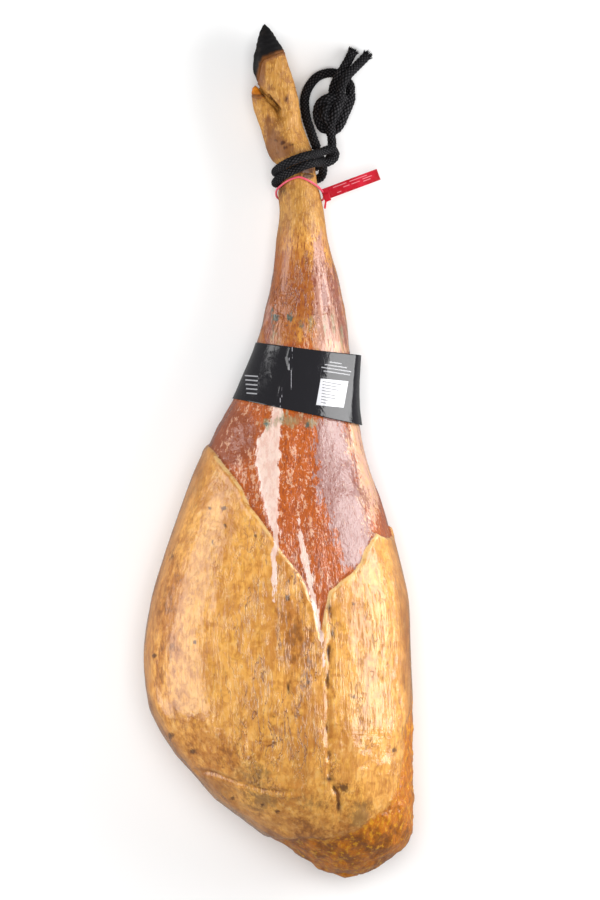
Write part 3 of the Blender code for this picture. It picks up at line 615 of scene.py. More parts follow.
def ham_material():
    """Oily rind and bare flesh, told apart by marks on the mesh and broken up by noise."""
    shade = Shade("cured_ham")
    noise, mark, mix, step = shade.noise, shade.mark, shade.mix, shade.step
    add, times, plus, swing, layers = shade.sum, shade.times, shade.plus, shade.swing, shade.layers
    broad = noise((34.0, 60.0, 34.0), 3.0, 0.55)
    patchy = noise((14.0, 22.0, 14.0), 4.0, 0.6)
    mottle = noise((5.0, 8.0, 5.0), 3.0, 0.65)
    streaks = noise((3.4, 46.0, 3.4), 3.0, 0.6)
    strokes = noise((3.8, 15.0, 3.8), 4.0, 0.62)
    blotches = noise((9.0, 9.0, 9.0), 3.0, 0.6, 0.6)
    threads = noise((1.3, 22.0, 1.3), 2.0, 0.6, 0.4)
    fine = noise((1.4, 4.0, 1.4), 2.0, 0.6)
    grain = noise((0.9, 1.1, 0.9), 2.0, 0.6)
    hair = noise((0.9, 10.0, 0.9), 2.0, 0.6, 0.3)
    brown = mark("brown")
    matte = mark("matte")
    steep = mark("steep")
    creased = mark("creased")
    dark = plus(mark("dark"), add(fine, mottle), 1.2)
    browned = plus(brown, mottle, 0.8)

    spread = add(times(brown, 0.16), plus(times(mottle, 0.6), patchy, 0.7))
    sides = mix(SIDE_PINK, SIDE_BROWN, step(
        add(broad, plus(times(patchy, 0.6), strokes, 0.5)), 0.9, 1.3, 0.0, 0.9))
    rind = layers(RIND_GOLD, (
        (RIND_BROWN, broad, 0.47, 0.62, 0.5),
        (RIND_YELLOW, patchy, 0.5, 0.64, 0.6),
        (RIND_PALE, strokes, 0.52, 0.68, 0.35),
        (RIND_BROWN, strokes, 0.48, 0.34, 0.45),
        (RIND_BROWN, blotches, 0.48, 0.66, 0.5),
        (RIND_PALE, blotches, 0.46, 0.3, 0.4),
        (RIND_BROWN, streaks, 0.46, 0.38, 0.4),
        (RIND_BROWN, spread, 0.64, 0.92, 0.9),
        (RIND_DARK, plus(spread, fine, 0.3), 0.96, 1.16, 0.5),
        (RIND_GREY, plus(mark("grey"), mottle, 1.2), 0.8, 1.3, 0.75),
        (sides, add(times(steep, 0.6), plus(times(strokes, 0.5), broad, 0.6)), 0.72, 1.2, 0.75),
        (RIND_DARK, dark, 1.5, 2.1, 0.85),
    ))
    rind = layers(rind, (
        (RIND_BROWN, hair, 0.46, 0.36, 0.4),
        (RIND_PALE, hair, 0.54, 0.66, 0.45),
        (RIND_BROWN, mottle, 0.52, 0.64, 0.5),
    ), matte)
    distance, tint = shade.spots((12.0, 15.0, 12.0))
    rind = mix(rind, DARK_SPOT_AND_RECESS_SHADE, times(times(step(distance, 0.1, 0.03), step(tint, 0.62, 0.9)), 0.7))
    bend = add(add(noise((7.5, 40.0, 7.5), 3.0, 0.55, 0.5), -0.5), 0.0, "ABSOLUTE")
    crack = times(step(bend, 0.022, 0.004), step(noise((16.0, 46.0, 16.0)), 0.46, 0.58))
    crack = times(crack, add(0.25, creased))
    rind = mix(rind, SIDE_BROWN, times(crack, 0.7))
    crust = layers(CRUST_ORANGE, (
        (CRUST_BROWN, plus(patchy, brown, 0.1), 0.54, 0.74, 1.0),
        (CRUST_YELLOW, mottle, 0.52, 0.62, 0.7),
        (RIND_DARK, mottle, 0.45, 0.34, 0.4),
        (RIND_DARK, fine, 0.43, 0.33, 0.25),
    ))

    def fat_dots(cell, spread_by, low, high, ragged_by, share, far):
        away, shade_of = shade.spots(cell)
        near = step(plus(away, ragged_by, share), far, 0.34)
        return times(near, step(plus(shade_of, spread_by, 1.3), low, high))

    ragged = plus(strokes, fine, 0.3)
    islands = step(plus(ragged, broad, 0.5), 0.965, 1.02)
    level = step(steep, 0.8, 0.2, 0.2, 1.0)
    flesh = layers(FLESH_ORANGE, (
        (FLESH_RED, patchy, 0.5, 0.62, 0.4),
        (FLESH_RED, strokes, 0.45, 0.35, 0.6),
        (FLESH_BROWN, browned, 0.6, 1.1, 0.92),
        (FLESH_BROWN, steep, 0.2, 0.9, 0.6),
    ))
    flesh = mix(flesh, FLESH_PALE, times(times(islands, level), 0.8))
    dot = fat_dots((4.2, 5.0, 4.2), patchy, 1.12, 1.24, fine, 0.35, 0.5)
    speck = fat_dots((2.3, 3.2, 2.3), mottle, 1.1, 1.2, grain, 0.4, 0.46)
    pale_dots = times(add(dot, speck, "MAXIMUM"), step(brown, 0.6, 0.25))
    flesh = mix(flesh, FLESH_PALE, times(times(pale_dots, level), 0.65))
    # Pale fat and painted sheen, in the pale zones
    pale_fat_and_sheen = plus(mark("pale_fat_and_sheen"), mottle, 1.4)
    pale_fat_and_sheen_tint = mix(FAT_PINK, RIND_PALE, step(strokes, 0.4, 0.6, 0.1, 0.55))
    uneven = add(times(add(ragged, -0.65), 44.0), swing(patchy, 30.0))
    flesh = layers(flesh, (
        # Painted lilac sheen on the right of the flesh, then pale fat with painted sheen
        (PAINTED_SHEEN_LILAC, add(mark("painted_sheen"), uneven), -1.0, 1.0, 0.9),
        (pale_fat_and_sheen_tint, add(pale_fat_and_sheen, swing(fine, 1.6)), 1.0, 1.4, 0.75),
    ))

    shin = step(add(mark("shin"), swing(patchy, 1.6)), 0.3, 0.7)
    lines = step(add(mark("fold"), swing(threads, 2.8)), 0.08, 0.36)
    flesh = mix(flesh, SHANK_RED, times(lines, 0.7))
    shank = mix(rind, SHANK_BROWN, step(browned, 0.45, 1.2, 0.0, 0.85))
    shank = mix(shank, RIND_PALE, times(speck, 0.12))
    # Painted sheen on the shank's right, where the pale zones lie
    shank = mix(shank, SHANK_PAINTED_SHEEN, step(plus(pale_fat_and_sheen, strokes, 0.8), 1.4, 1.75, 0.0, 0.9))
    shank = mix(shank, SHANK_RED, times(lines, 0.85))
    tan = layers(FOOT_TAN, (
        (FOOT_SHADE, plus(blotches, mottle, 0.5), 0.72, 0.9, 1.0),
        (RIND_PALE, hair, 0.54, 0.66, 0.45),
        (FOOT_SHADE, hair, 0.46, 0.36, 0.5),
        (FOOT_PURPLE, plus(brown, add(mottle, fine), 0.8), 1.05, 1.5, 0.85),
        # Dark spots, with painted shade along the cleft between the toes
        (DARK_SPOT_AND_RECESS_SHADE, dark, 1.5, 2.1, 0.9),
    ))
    shank = mix(shank, tan, step(matte, 0.35, 0.85, 0.0, 0.9))
    flesh = mix(flesh, shank, shin)

    edge = add(mark("flesh"), swing(patchy, 4.0))
    # Pale rim of cut fat along the rind's edge, with a painted highlight on the raised lip, weaker on steep
    # slopes
    rim = times(step(edge, -3.4, -1.4), step(edge, 0.7, 0.0))
    rim = times(rim, step(plus(patchy, mottle, 0.6), 0.66, 0.82))
    rim = times(rim, step(steep, 0.2, 0.9, 0.7, 0.15))
    fat = mix(FAT_WHITE, FAT_PINK, step(streaks, 0.46, 0.6, 0.0, 0.6))
    skinless = add(mark("crust"), swing(mottle, 12.0))
    # Painted shade in the furrows, deepest where they are deep, broken up by noise
    wear_and_painted_light = times(mark("painted_groove_shade"), step(plus(mottle, fine, 0.4), 0.55, 0.8, 0.35, 1.0))
    colour = mix(mix(rind, flesh, step(edge, -0.4, 0.5)), CUT_FAT_AND_HIGHLIGHT, rim)
    colour = layers(colour, (
        (fat, add(mark("fat"), swing(strokes, 12.0)), -0.3, 0.6, 0.95),
        (crust, skinless, -2.0, 3.0, 1.0),
        (INK_OLIVE, add(mark("stain"), swing(strokes, 2.4)), 0.3, 0.9, 0.65),
        (INK_TEAL, add(mark("ink"), plus(times(mottle, 1.7), fine, 0.7)), 1.74, 2.1, 0.8),
        (SIDE_BROWN, wear_and_painted_light, 0.15, 0.8, 0.9),
    ))
    # Painted shade in the pits along the furrows
    colour = mix(colour, DARK_SPOT_AND_RECESS_SHADE, mark("painted_pit_shade"))

    sparse = times(step(noise((11.0, 32.0, 11.0)), 0.47, 0.58), creased)
    ridges = times(step(noise((2.0, 15.0, 2.0), 2.0, 0.6, 0.3), 0.46, 0.68), add(0.1, sparse))
    across = times(noise((24.0, 2.6, 24.0), 2.0, 0.5, 0.4), add(0.2, creased))
    cracked = step(skinless, -2.0, 3.0)
    on_flesh = times(step(mark("flesh"), -1.0, 1.0), plus(1.0, shin, -0.6))
    lumps = times(noise((3.2, 5.0, 3.2), 3.0, 0.62), plus(times(on_flesh, 0.4), cracked, 0.7))
    smooth = None
    for height, depth in (
        (noise((14.0, 34.0, 14.0)), 1.3),
        (plus(mottle, strokes, 0.7), 0.34),
        (ridges, 0.75),
        (across, 0.16),
        (crack, -0.3),
        (lumps, 1.3),
        (times(pale_dots, on_flesh), 0.1),
        (times(add(hair, mottle), matte), 0.5),
    ):
        smooth = shade.bump(height, depth, smooth)
    shade.set(
        Base_Color=colour, Roughness=0.55, Specular_IOR_Level=0.25, Coat_Roughness=0.06, Coat_IOR=1.65,
        Normal=shade.bump(times(grain, add(0.5, on_flesh)), 0.12, smooth), Coat_Normal=smooth,
        Coat_Weight=add(0.95, plus(times(matte, -0.85), cracked, -0.3)),
        Subsurface_Weight=0.06, Subsurface_Scale=0.003,
    )
    shade.shader.inputs["Subsurface Radius"].default_value = (1.0, 0.45, 0.2)
    return shade.material


def horn_material(name, base, wear_and_painted_light, dust_share):
    shade = Shade(name)
    rings = shade.noise((9.0, 1.6, 9.0), 3.0, 0.6, 0.5)
    patches = shade.noise((7.0, 7.0, 7.0), 4.0, 0.65)
    colour = shade.mix(base, wear_and_painted_light, shade.step(patches, 0.5, 0.75, 0.0, dust_share))
    root = shade.sum(shade.mark("past"), shade.times(patches, 6.0))
    colour = shade.mix(colour, SIDE_BROWN, shade.step(root, 6.5, 2.5, 0.0, 0.7))
    normal = shade.bump(rings, 0.35)
    shade.set(Base_Color=colour, Roughness=0.6, Normal=normal, Specular_IOR_Level=0.2, Coat_Weight=0.06,
              Coat_Roughness=0.25)
    return shade.material


def rope_material():
    shade = Shade("braided_cord")
    fibre = shade.noise((0.5, 0.5, 0.5), 3.0, 0.7)
    wear_and_painted_light = shade.noise((11.0, 11.0, 11.0), 3.0, 0.6)
    crown = shade.mark("crown")
    # Painted shade between the strands and a painted highlight on their crowns, lighter still where worn
    colour = shade.mix((0.0012, 0.0012, 0.0016), (0.018, 0.017, 0.019), shade.step(crown, 0.45, 0.98))
    colour = shade.mix(colour, (0.075, 0.071, 0.076), shade.step(
        shade.sum(shade.times(crown, 0.6), shade.sum(shade.times(wear_and_painted_light, 0.5), shade.times(fibre, 0.4))),
        0.85, 1.15, 0.0, 0.7))
    shade.set(Base_Color=colour, Roughness=0.7, Normal=shade.bump(fibre, 0.2), Specular_IOR_Level=0.15)
    return shade.material


def inside_box(shade, origin, along, across):
    """1 inside a rectangle in plan: its corner and two sides, in millimetres."""
    value = None
    for side in (along, across):
        length = math.hypot(*side)
        node = shade.nodes.new("ShaderNodeVectorMath")
        node.operation = "DOT_PRODUCT"
        shade.links.new(shade.place, node.inputs[0])
        unit = (side[0] / length, side[1] / length, 0.0)
        node.inputs[1].default_value = tuple(part / MM for part in unit)
        start = origin[0] * unit[0] + origin[1] * unit[1]
        measured = shade.sum(node.outputs["Value"], -start)
        started = shade.step(measured, -0.12, 0.12)
        inside = shade.times(started, shade.step(measured, length + 0.12, length - 0.12))
        value = inside if value is None else shade.times(value, inside)
    return value


def inside_any(shade, boxes):
    """1 inside any of several rectangles."""
    total = None
    for box in boxes:
        value = inside_box(shade, *box)
        total = value if total is None else shade.sum(total, value)
    return total


PANEL = ((37.1, 65.5), (24.8, -4.4), (-2.4, -24.2))
BAND_INK = paint(30, 29, 33)
BAND_WHITE = paint(208, 208, 212)


def band_material():
    """Glossy black film with a plain white panel and a few plain bars."""
    shade = Shade("black_film")
    top = shade.mark("front")
    panel = shade.times(inside_box(shade, *PANEL), top)
    bars = []
    for index, length in enumerate((11.0, 20.0, 27.0, 24.0)):
        corner = (50.5 - length / 2 + index * 0.4, 80.2 - index * 3.1 + length * 0.085)
        bars.append((corner, (length, -length * 0.17), (-0.15, -1.0)))
    for index in range(5):
        length = 12.0 - 0.6 * index
        bars.append(((-32.0 + index * 0.4, 69.0 - index * 4.0), (length, -length * 0.09), (-0.1, -1.2)))
    rows = []
    for index, length in enumerate((17.0, 14.0, 15.0, 9.0, 12.0, 13.0, 6.0, 5.0)):
        rows.append(((39.0 - index * 0.25, 63.2 - index * 2.7), (length, -length * 0.177), (-0.15, -0.85)))
    # A thin light line along the crease, a painted highlight, broken up at random
    crease = [(start, (end[0] - start[0], end[1] - start[1]), (0.5, 0.0))
              for start, end in zip(BAND_CREASE, BAND_CREASE[1:])]
    wear_and_painted_light = shade.step(shade.noise((3.0, 5.0, 3.0), 2.0, 0.6), 0.42, 0.56)
    colour = BAND_INK
    for over, share in (
        (paint(176, 176, 180), shade.times(inside_any(shade, bars), shade.times(top, 0.75))),
        (paint(170, 168, 174), shade.times(inside_any(shade, crease), shade.times(top, wear_and_painted_light))),
        (BAND_WHITE, panel),
        (paint(60, 60, 66), shade.times(inside_any(shade, rows), shade.times(panel, 0.8))),
    ):
        colour = shade.mix(colour, over, share)
    scuffs = shade.noise((10.0, 16.0, 10.0), 5.0, 0.7)
    wrinkle = shade.noise((7.0, 16.0, 7.0), 3.0, 0.55, 0.8)
    shade.set(Base_Color=colour, Roughness=shade.step(scuffs, 0.35, 0.75, 0.08, 0.2), Specular_IOR_Level=0.75,
              Normal=shade.bump(wrinkle, 0.3))
    return shade.material


# Plain bars on the seal's flag: place along and across it, and length
TAG_LINES = (
    (-16, 3.4, 13), (0, 3.4, 17), (-7, 0.6, 6), (1, 0.6, 8), (12, 1.4, 9), (12, -0.8, 7), (-14, -2.2, 4),
)


def seal_material():
    shade = Shade("red_plastic")
    cloud = shade.noise((14.0, 14.0, 14.0), 3.0, 0.6)
    cos = math.cos(TAG_TURN)
    sin = math.sin(TAG_TURN)
    bars = []
    for along, across, length in TAG_LINES:
        place = (TAG_CENTRE[0] + cos * along - sin * across, TAG_CENTRE[1] + sin * along + cos * across)
        bars.append((place, (length * cos, length * sin), (0.7 * sin, -0.7 * cos)))
    colour = shade.mix(paint(172, 10, 32), paint(200, 34, 56), shade.step(cloud, 0.4, 0.7))
    colour = shade.mix(colour, paint(226, 150, 160), shade.times(inside_any(shade, bars), 0.7))
    colour = shade.mix(colour, paint(226, 96, 118), shade.times(shade.mark("thin"), 0.75))
    grain = shade.noise((0.6, 0.6, 0.6), 2.0, 0.6)
    shade.set(Base_Color=colour, Roughness=0.32, Normal=shade.bump(grain, 0.06), Subsurface_Weight=0.06,
              Subsurface_Scale=0.002)
    return shade.material


def floor_material():
    shade = Shade("pale_floor")
    cloud = shade.noise((900.0, 900.0, 900.0), 2.0, 0.5)
    shade.set(Base_Color=shade.mix((0.9, 0.9, 0.9), (0.93, 0.93, 0.93), cloud), Roughness=0.9,
              Specular_IOR_Level=0.1)
    return shade.material


def flesh_depth(points, normals):
    """How far a point lies past the rind's edge and into the butt's crust, and how far it faces up."""
    upward = smooth_step(-0.05, 0.3, normals[..., 2])
    back = past_line(points, BACK_EDGE) + 7.0 * layered_noise(points, (22.0, 26.0, 16.0), 21)
    flesh = upward * past_line(points, RIND_EDGE) + (1.0 - upward) * back
    butt, _ = line_distance(points, BUTT_EDGE)
    corners = np.array(BUTT_EDGE)[::-1]
    outside = points[..., 0] > np.interp(points[..., 1], corners[:, 1], corners[:, 0])
    outside |= points[..., 1] < -352.0
    crust = np.clip(np.where(outside, butt, -butt), -20.0, 20.0)
    uneven = (1.0 - upward) * layered_noise(points, (30.0, 30.0, 20.0), 23)
    crust -= 30.0 * smooth_step(-270.0, -170.0, points[..., 1] + 22.0 * uneven)
    crust -= 30.0 * smooth_step(-0.1, -0.6, normals[..., 2] + 0.25 * uneven)
    return flesh, crust, upward


def creased_share(points):
    """Where fine lengthwise creases run: down the middle, along the furrow and on the shank."""
    x = points[..., 0]
    y = points[..., 1]
    middle = np.exp(-((x - 2.0) / 52.0) ** 4) * window(y, -345.0, -270.0, -110.0, -50.0)
    right = np.exp(-((x - 84.0) / 24.0) ** 4) * window(y, -300.0, -260.0, -110.0, -80.0)
    shank = window(y, 90.0, 115.0, 175.0, 205.0)
    return np.maximum(np.maximum(middle, 0.6 * right), shank)


def shank_folds(points):
    """Lengthwise folds above the label band, and on the flesh's outer border below it."""
    y = points[..., 1]
    lean = points[..., 0] + 0.12 * np.maximum(y - 130.0, -30.0)
    sides = smooth_step(26.0, 38.0, lean) + 0.7 * (1.0 - smooth_step(-8.0, 6.0, lean))
    border = window(y, -70.0, -40.0, 20.0, 40.0) * smooth_step(54.0, 66.0, lean)
    leaning = points.copy()
    leaning[..., 0] += 0.12 * y
    folds = lattice_noise(leaning, (3.4, 42.0, 9.0), 57) + 0.4 * lattice_noise(leaning, (2.2, 26.0, 6.0), 58)
    return (window(y, 84.0, 104.0, 160.0, 186.0) * sides + 0.8 * border) * folds


def groove_depth(points, upward):
    """How deep the furrows are at each point, from 0 to 1, and their broken pinches."""
    pinch = np.clip(0.5 + 1.2 * lattice_noise(points, (14.0, 8.0, 40.0), 31), 0.0, 1.4)
    total = np.zeros(points.shape[:-1])
    for line, width, strength, start, end in GROOVES:
        distance, share = line_distance(points, line)
        depth = strength * window(share, 0.0, start, end, 1.0) * pinch * bell(distance, width)
        total = np.maximum(total, depth)
    return total * upward


def leg_relief(points, flesh, crust, upward):
    """How far the surface of the leg stands out from its plain sections."""
    x = points[..., 0]
    y = points[..., 1]
    ragged = flesh + 0.9 * layered_noise(points, (9.0, 9.0, 9.0), 11)
    rind = 1.0 - smooth_step(-10.0, 40.0, y)
    relief = -RIND_STEP * rind * smooth_step(-1.4, 1.2, ragged)
    lip = np.clip(0.8 + 0.7 * lattice_noise(points, (16.0, 16.0, 16.0), 12), 0.2, 1.5)
    relief += rind * bell(ragged + 3.2, 2.4) * lip
    relief -= 1.8 * smooth_step(-2.0, 3.0, crust + 1.6 * layered_noise(points, (12.0, 12.0, 12.0), 13))
    relief += smooth_step(0.0, 8.0, crust) * 1.2 * layered_noise(points, (9.0, 8.0, 9.0), 17)
    fat = streak_depth(points, FAT_RIDGE)
    relief += 1.1 * upward * smooth_step(-2.0, 2.5, fat) * smooth_step(-90.0, -60.0, y)

    distance, share = line_distance(points, MAIN_FURROW)
    corners = np.array(MAIN_FURROW)[::-1]
    left_of = x < np.interp(y, corners[:, 1], corners[:, 0])
    rim = bell(distance - 4.2, 1.7) * np.where(left_of, 1.3, 0.5)
    rim *= np.clip(0.6 + 0.9 * lattice_noise(points, (20.0, 13.0, 40.0), 33), 0.0, 1.6)
    relief += upward * window(share, 0.0, 0.08, 0.9, 1.0) * (rim - 1.4 * bell(distance, 7.0))
    for line, height, width, start, end in (
        (SIDE_FURROW, -1.3, 7.5, 0.15, 0.8),
        (CREST, 2.6, 12.0, 0.3, 0.7),
    ):
        distance, share = line_distance(points, line)
        relief += height * upward * window(share, 0.0, start, end, 1.0) * bell(distance, width)
    relief -= 2.2 * groove_depth(points, upward)
    distance, _ = line_distance(points, LOWER_STEP)
    relief += 1.9 * upward * bell(distance, 5.5)
    distance, _ = line_distance(points, SKIN_FOLD)
    relief += 0.9 * upward * bell(distance - 4.0, 2.6)
    bone = np.hypot(x - BONE_BUMP[0], y - BONE_BUMP[1])
    relief += upward * (1.4 * bell(bone, 8.0) - 0.7 * bell(bone - 12.0, 3.0) - 1.1 * bell(bone, 3.0))

    swell = np.sin(x / 31.0 + 0.7) * np.sin(y / 43.0 + 1.9)
    relief += 1.2 * (1.0 - smooth_step(-60.0, 0.0, y)) * upward * swell
    relief += 0.6 * layered_noise(points, (26.0, 60.0, 26.0), 41)
    on_flesh = smooth_step(-1.0, 3.0, flesh)
    on_rind = (1.0 - on_flesh) * (0.16 + 0.42 * creased_share(points))
    relief += on_rind * layered_noise(points, (7.5, 38.0, 9.0), 51)
    relief += on_flesh * 0.34 * layered_noise(points, (9.0, 15.0, 9.0), 61)
    relief += 0.75 * shank_folds(points)
    lower = smooth_step(-230.0, -300.0, y) * (1.0 - smooth_step(-2.0, 3.0, crust))
    relief += 0.24 * lower * layered_noise(points, (16.0, 9.0, 16.0), 53)
    return relief * (1.0 - smooth_step(238.0, 244.0, y))


BROWN_ZONES = (
    (-104, -140, 22, 120, 1.3), (-70, 10, 22, 50, 0.5), (60, -365, 60, 22, 1.2),
    (0, -345, 80, 20, 0.8), (100, -350, 30, 30, 0.7), (22, -200, 14, 60, 0.9),
    (116, -120, 12, 120, 0.6), (-42, 14, 20, 24, 1.3), (20, 150, 40, 30, 0.6),
    (5, 130, 20, 60, 0.6), (-70, -280, 54, 34, 0.9), (-10, 135, 10, 50, 0.7),
    (10, -148, 15, 48, 0.9),
)
GREY_ZONES = (
    (-22, -292, 20, 16, 0.55), (76, -322, 12, 8, 0.5), (-16, -318, 16, 12, 0.6),
    (30, -318, 24, 10, 0.4), (-60, -318, 20, 14, 0.4), (71.8, -334.3, 10, 9, 0.8),
    (14, 30, 9, 9, 0.8),
)
DARK_ZONES = (
    (58.3, -305.7, 6, 4.5, 1.1), (7, -132.9, 2.4, 3.6, 1.1), (-22, -296, 5, 8, 0.6),
    (-79.9, -273.2, 2.4, 2.4, 1.3), (-50.3, -52.3, 3, 2.2, 1.1), (-21.8, -77.2, 2.4, 1.8, 0.9),
    (103.8, -272, 2.6, 2.6, 1.2), (66.7, -223.2, 3.6, 3, 0.9), (-98.4, -258.5, 3.4, 3.6, 1.1),
    (-113.6, -186.1, 2.4, 2.4, 1.1), (-76.3, -173.5, 1.8, 1.8, 1.3), (-43.3, -315.5, 2, 2, 1.1),
    (61.2, -64.1, 3, 2.2, 0.8), (23, -209, 5, 12, 0.7), (-98, -95, 4, 7, 0.7),
    (-49.5, -68.2, 2, 3, 0.9), (-64.1, -51.9, 2, 2.4, 0.9), (-60.8, -82.8, 1.8, 2.6, 0.8),
    (-15.9, -320.9, 2, 2, 1.1), (-4.9, -264.5, 1.8, 1.8, 1.1), (-5.7, -240.9, 1.8, 1.8, 1),
    (-2.4, -326.8, 2.2, 2, 1), (66.7, -139, 1.6, 1.8, 1.1), (8, -118, 1.6, 3, 0.8),
    (-17, 45, 3.4, 4.6, 0.8), (23, -300, 2, 8, 0.5), (26, 252, 8, 5, 1),
    (3, 237, 6, 6, 0.75), (-3, 228, 3, 8, 0.6), (20, 254, 9, 4, 0.9),
)
# Pale zones: pale fat, and painted sheen, most of all on the shank's right
PALE_FAT_AND_SHEEN_ZONES = (
    (36, 150, 5, 50, 0.7), (22, 110, 4, 12, 0.5),
    (84, -18, 10, 50, 1.3), (72, 16, 12, 24, 0.9), (46, 128, 13, 42, 0.9),
    (52, 100, 16, 26, 0.85), (-10, 60, 12, 30, 0.4), (-10, 118, 5, 30, 0.65),
    (34, 170, 4, 24, 0.6),
)
# Shapeless smears of stamp ink in plan, and pale green stains round them
INK_SMEARS = (
    (-6, 120, 5, 15, 0.85), (9, 121, 6, 11, 0.85), (19, 111, 4, 10, 0.8),
    (25, 24, 4, 5, 1.1), (-12, 24, 6, 4, 0.85), (2, 28, 8, 4, 0.6),
)
STAINS = (
    (8, 27, 16, 7, 0.9), (30, 26, 9, 5, 0.7), (-12, 24, 7, 6, 0.7),
    (28, 116, 2, 12, 0.8), (40, 112, 2, 18, 0.85), (48, 116, 2, 20, 0.85),
    (56, 106, 2.4, 16, 0.8), (18, 116, 6, 10, 0.5), (-5, 106, 6, 6, 0.6),
    (64, 100, 3, 14, 0.7),
)
# Furrows: line, width, strength, and the shares of its length where it sets in and fades
GROOVES = (
    (MAIN_FURROW, 1.7, 1, 0.06, 0.93),
    (SIDE_FURROW, 1.5, 0.55, 0.15, 0.8),
    (SKIN_FOLD, 1.4, 0.6, 0.1, 0.85),
    (BUTT_EDGE[:6], 1.8, 0.5, 0.15, 0.8),
    (LOWER_STEP[2:], 1.6, 0.45, 0.1, 0.9),
    (CREASE_IN_PAINTED_SHEEN, 1, 0.55, 0.15, 0.85),
)
# Pits along the furrows, centre and reach in plan, painted dark as painted shade
HOLES = (
    (44.8, -297.3, 3.4, 2.2), (8, -214.5, 1.2, 4.5), (45, -182, 1.1, 6), (45.4, -142.6, 1.5, 4.5),
    (48, -165.7, 1.6, 3.6), (43.4, -206, 1.1, 5), (49.5, -306, 1.4, 3), (54, -322, 1.2, 5),
)


def blobs(points, zones):
    """Sum of soft round zones in plan: centre, reach each way and strength."""
    total = np.zeros(points.shape[:-1])
    for x, y, reach_x, reach_y, strength in zones:
        far = ((points[..., 0] - x) / reach_x) ** 2 + ((points[..., 1] - y) / reach_y) ** 2
        total += strength * np.exp(-far)
    return total


def ham_marks(points, normals, flesh, crust, upward):
    """The marks that the ham's material reads, one value for each point."""
    fat = np.maximum(streak_depth(points, FAT_RIDGE), streak_depth(points, FAT_STREAK))
    painted_pit_shade = np.zeros(points.shape[:-1])
    for x, y, reach_x, reach_y in HOLES:
        painted_pit_shade = np.maximum(painted_pit_shade, blobs(points, ((x, y, reach_x, reach_y, 1.0),)))
    return {
        "flesh": np.clip(flesh, -40.0, 40.0),
        "crust": crust,
        "fat": np.where(upward > 0.5, np.clip(fat, -20.0, 20.0), -20.0),
        "brown": np.clip(blobs(points, BROWN_ZONES), 0.0, 1.5),
        "grey": blobs(points, GREY_ZONES) * upward,
        "dark": blobs(points, DARK_ZONES) * upward,
        "pale_fat_and_sheen": blobs(points, PALE_FAT_AND_SHEEN_ZONES) * upward,
        "ink": blobs(points, INK_SMEARS) * upward,
        "stain": blobs(points, STAINS) * upward,
        "painted_pit_shade": painted_pit_shade * upward,
        "shin": smooth_step(70.0, 130.0, points[..., 1]),
        "matte": 0.9 * smooth_step(150.0, 235.0, points[..., 1]),
        "creased": creased_share(points),
        "steep": 1.0 - smooth_step(0.25, 0.75, normals[..., 2]),
        "painted_groove_shade": groove_depth(points, upward),
        "fold": -shank_folds(points),
        "painted_sheen": np.where(upward > 0.5, np.clip(streak_depth(points, PAINTED_SHEEN_STREAK), -20.0, 20.0), -20.0),
    }


def make_leg(material):
    """The leg from its butt to the rope, as one fine loft with its relief."""
    above = 208
    below = 48
    around = np.concatenate([
        np.linspace(0.0, math.pi, above, endpoint=False),
        np.linspace(math.pi, 2.0 * math.pi, below, endpoint=False),
    ])
    butt = -388.5 + 50.0 * (1.0 - np.cos(np.linspace(0.0, math.pi / 2, 30, endpoint=False)))
    body = np.linspace(-338.5, 60.0, 272, endpoint=False)
    places = np.concatenate([butt, body, np.linspace(60.0, SEAM_TO, 82)])
    flat_places = np.repeat(places, len(around))
    flat_angles = np.tile(around, len(places))
    grid = section_points(LEG_SECTIONS, flat_places, flat_angles).reshape(len(places), len(around), 3)
    end = section_points(LEG_SECTIONS, np.full(4, SEAM_TO), np.array([0.0, 1.571, 3.142, 4.712])).mean(axis=0)
    poles = np.array([BUTT_POLE, end])
    normals = grid_normals(grid, poles)
    flesh, crust, upward = flesh_depth(grid, normals)
    moved = grid + normals * leg_relief(grid, flesh, crust, upward)[..., None]
    moved[..., 2] = np.maximum(moved[..., 2], 0.0)
    marks = ham_marks(grid, normals, flesh, crust, upward)
    for name, values in marks.items():
        marks[name] = np.concatenate([values.ravel(), values[0, :1], values[-1, :1]])
    points, faces = loft(moved, poles)
    return make_object("ham_leg", points, faces, material, marks)


def toe_grid(rows, low, high, rings, around, lower):
    """Rings of one toe, upper or lower, between two places along Y."""
    places = np.linspace(low, high, rings)
    angles = np.linspace(0.0, 2.0 * math.pi, around, endpoint=False)
    grid = section_points(rows, np.repeat(places, around), np.tile(angles, rings), TOE_POWERS)
    grid = grid.reshape(rings, around, 3)
    if lower:
        grid = grid[:, ::-1] * (1.0, 1.0, -1.0) + (0.0, 0.0, 2 * TOE_MIRROR)
    return grid


def vertex_arrays(mesh):
    points = np.zeros(len(mesh.vertices) * 3)
    normals = np.zeros(len(mesh.vertices) * 3)
    mesh.vertices.foreach_get("co", points)
    mesh.vertices.foreach_get("normal", normals)
    return points.reshape(-1, 3) / MM, normals.reshape(-1, 3)


FOOT_BROWN = (
    (-6, 285, 10, 12, 0.6), (2, 274, 11, 8, 0.8), (5.5, 321, 3, 4, 0.6),
    (-20, 322, 4, 8, 0.4), (22, 256, 12, 6, 1), (-17, 345, 4, 12, 0.7),
    (-12, 300, 4, 12, 0.5), (-8, 272, 5, 8, 0.7), (-10, 330, 5, 5, 0.4),
)
FOOT_DARK = (
    (5.5, 321, 1.5, 2.6, 0.75), (2.4, 280.7, 2.6, 2.2, 0.9), (4.6, 276.2, 2, 1.8, 0.9),
    (-4, 283, 2.2, 2, 0.6), (26, 255, 9, 4, 0.9), (14, 254, 7, 3, 0.8),
    (12, 279, 4, 2, 0.5), (-1, 272, 4, 2, 0.6),
)


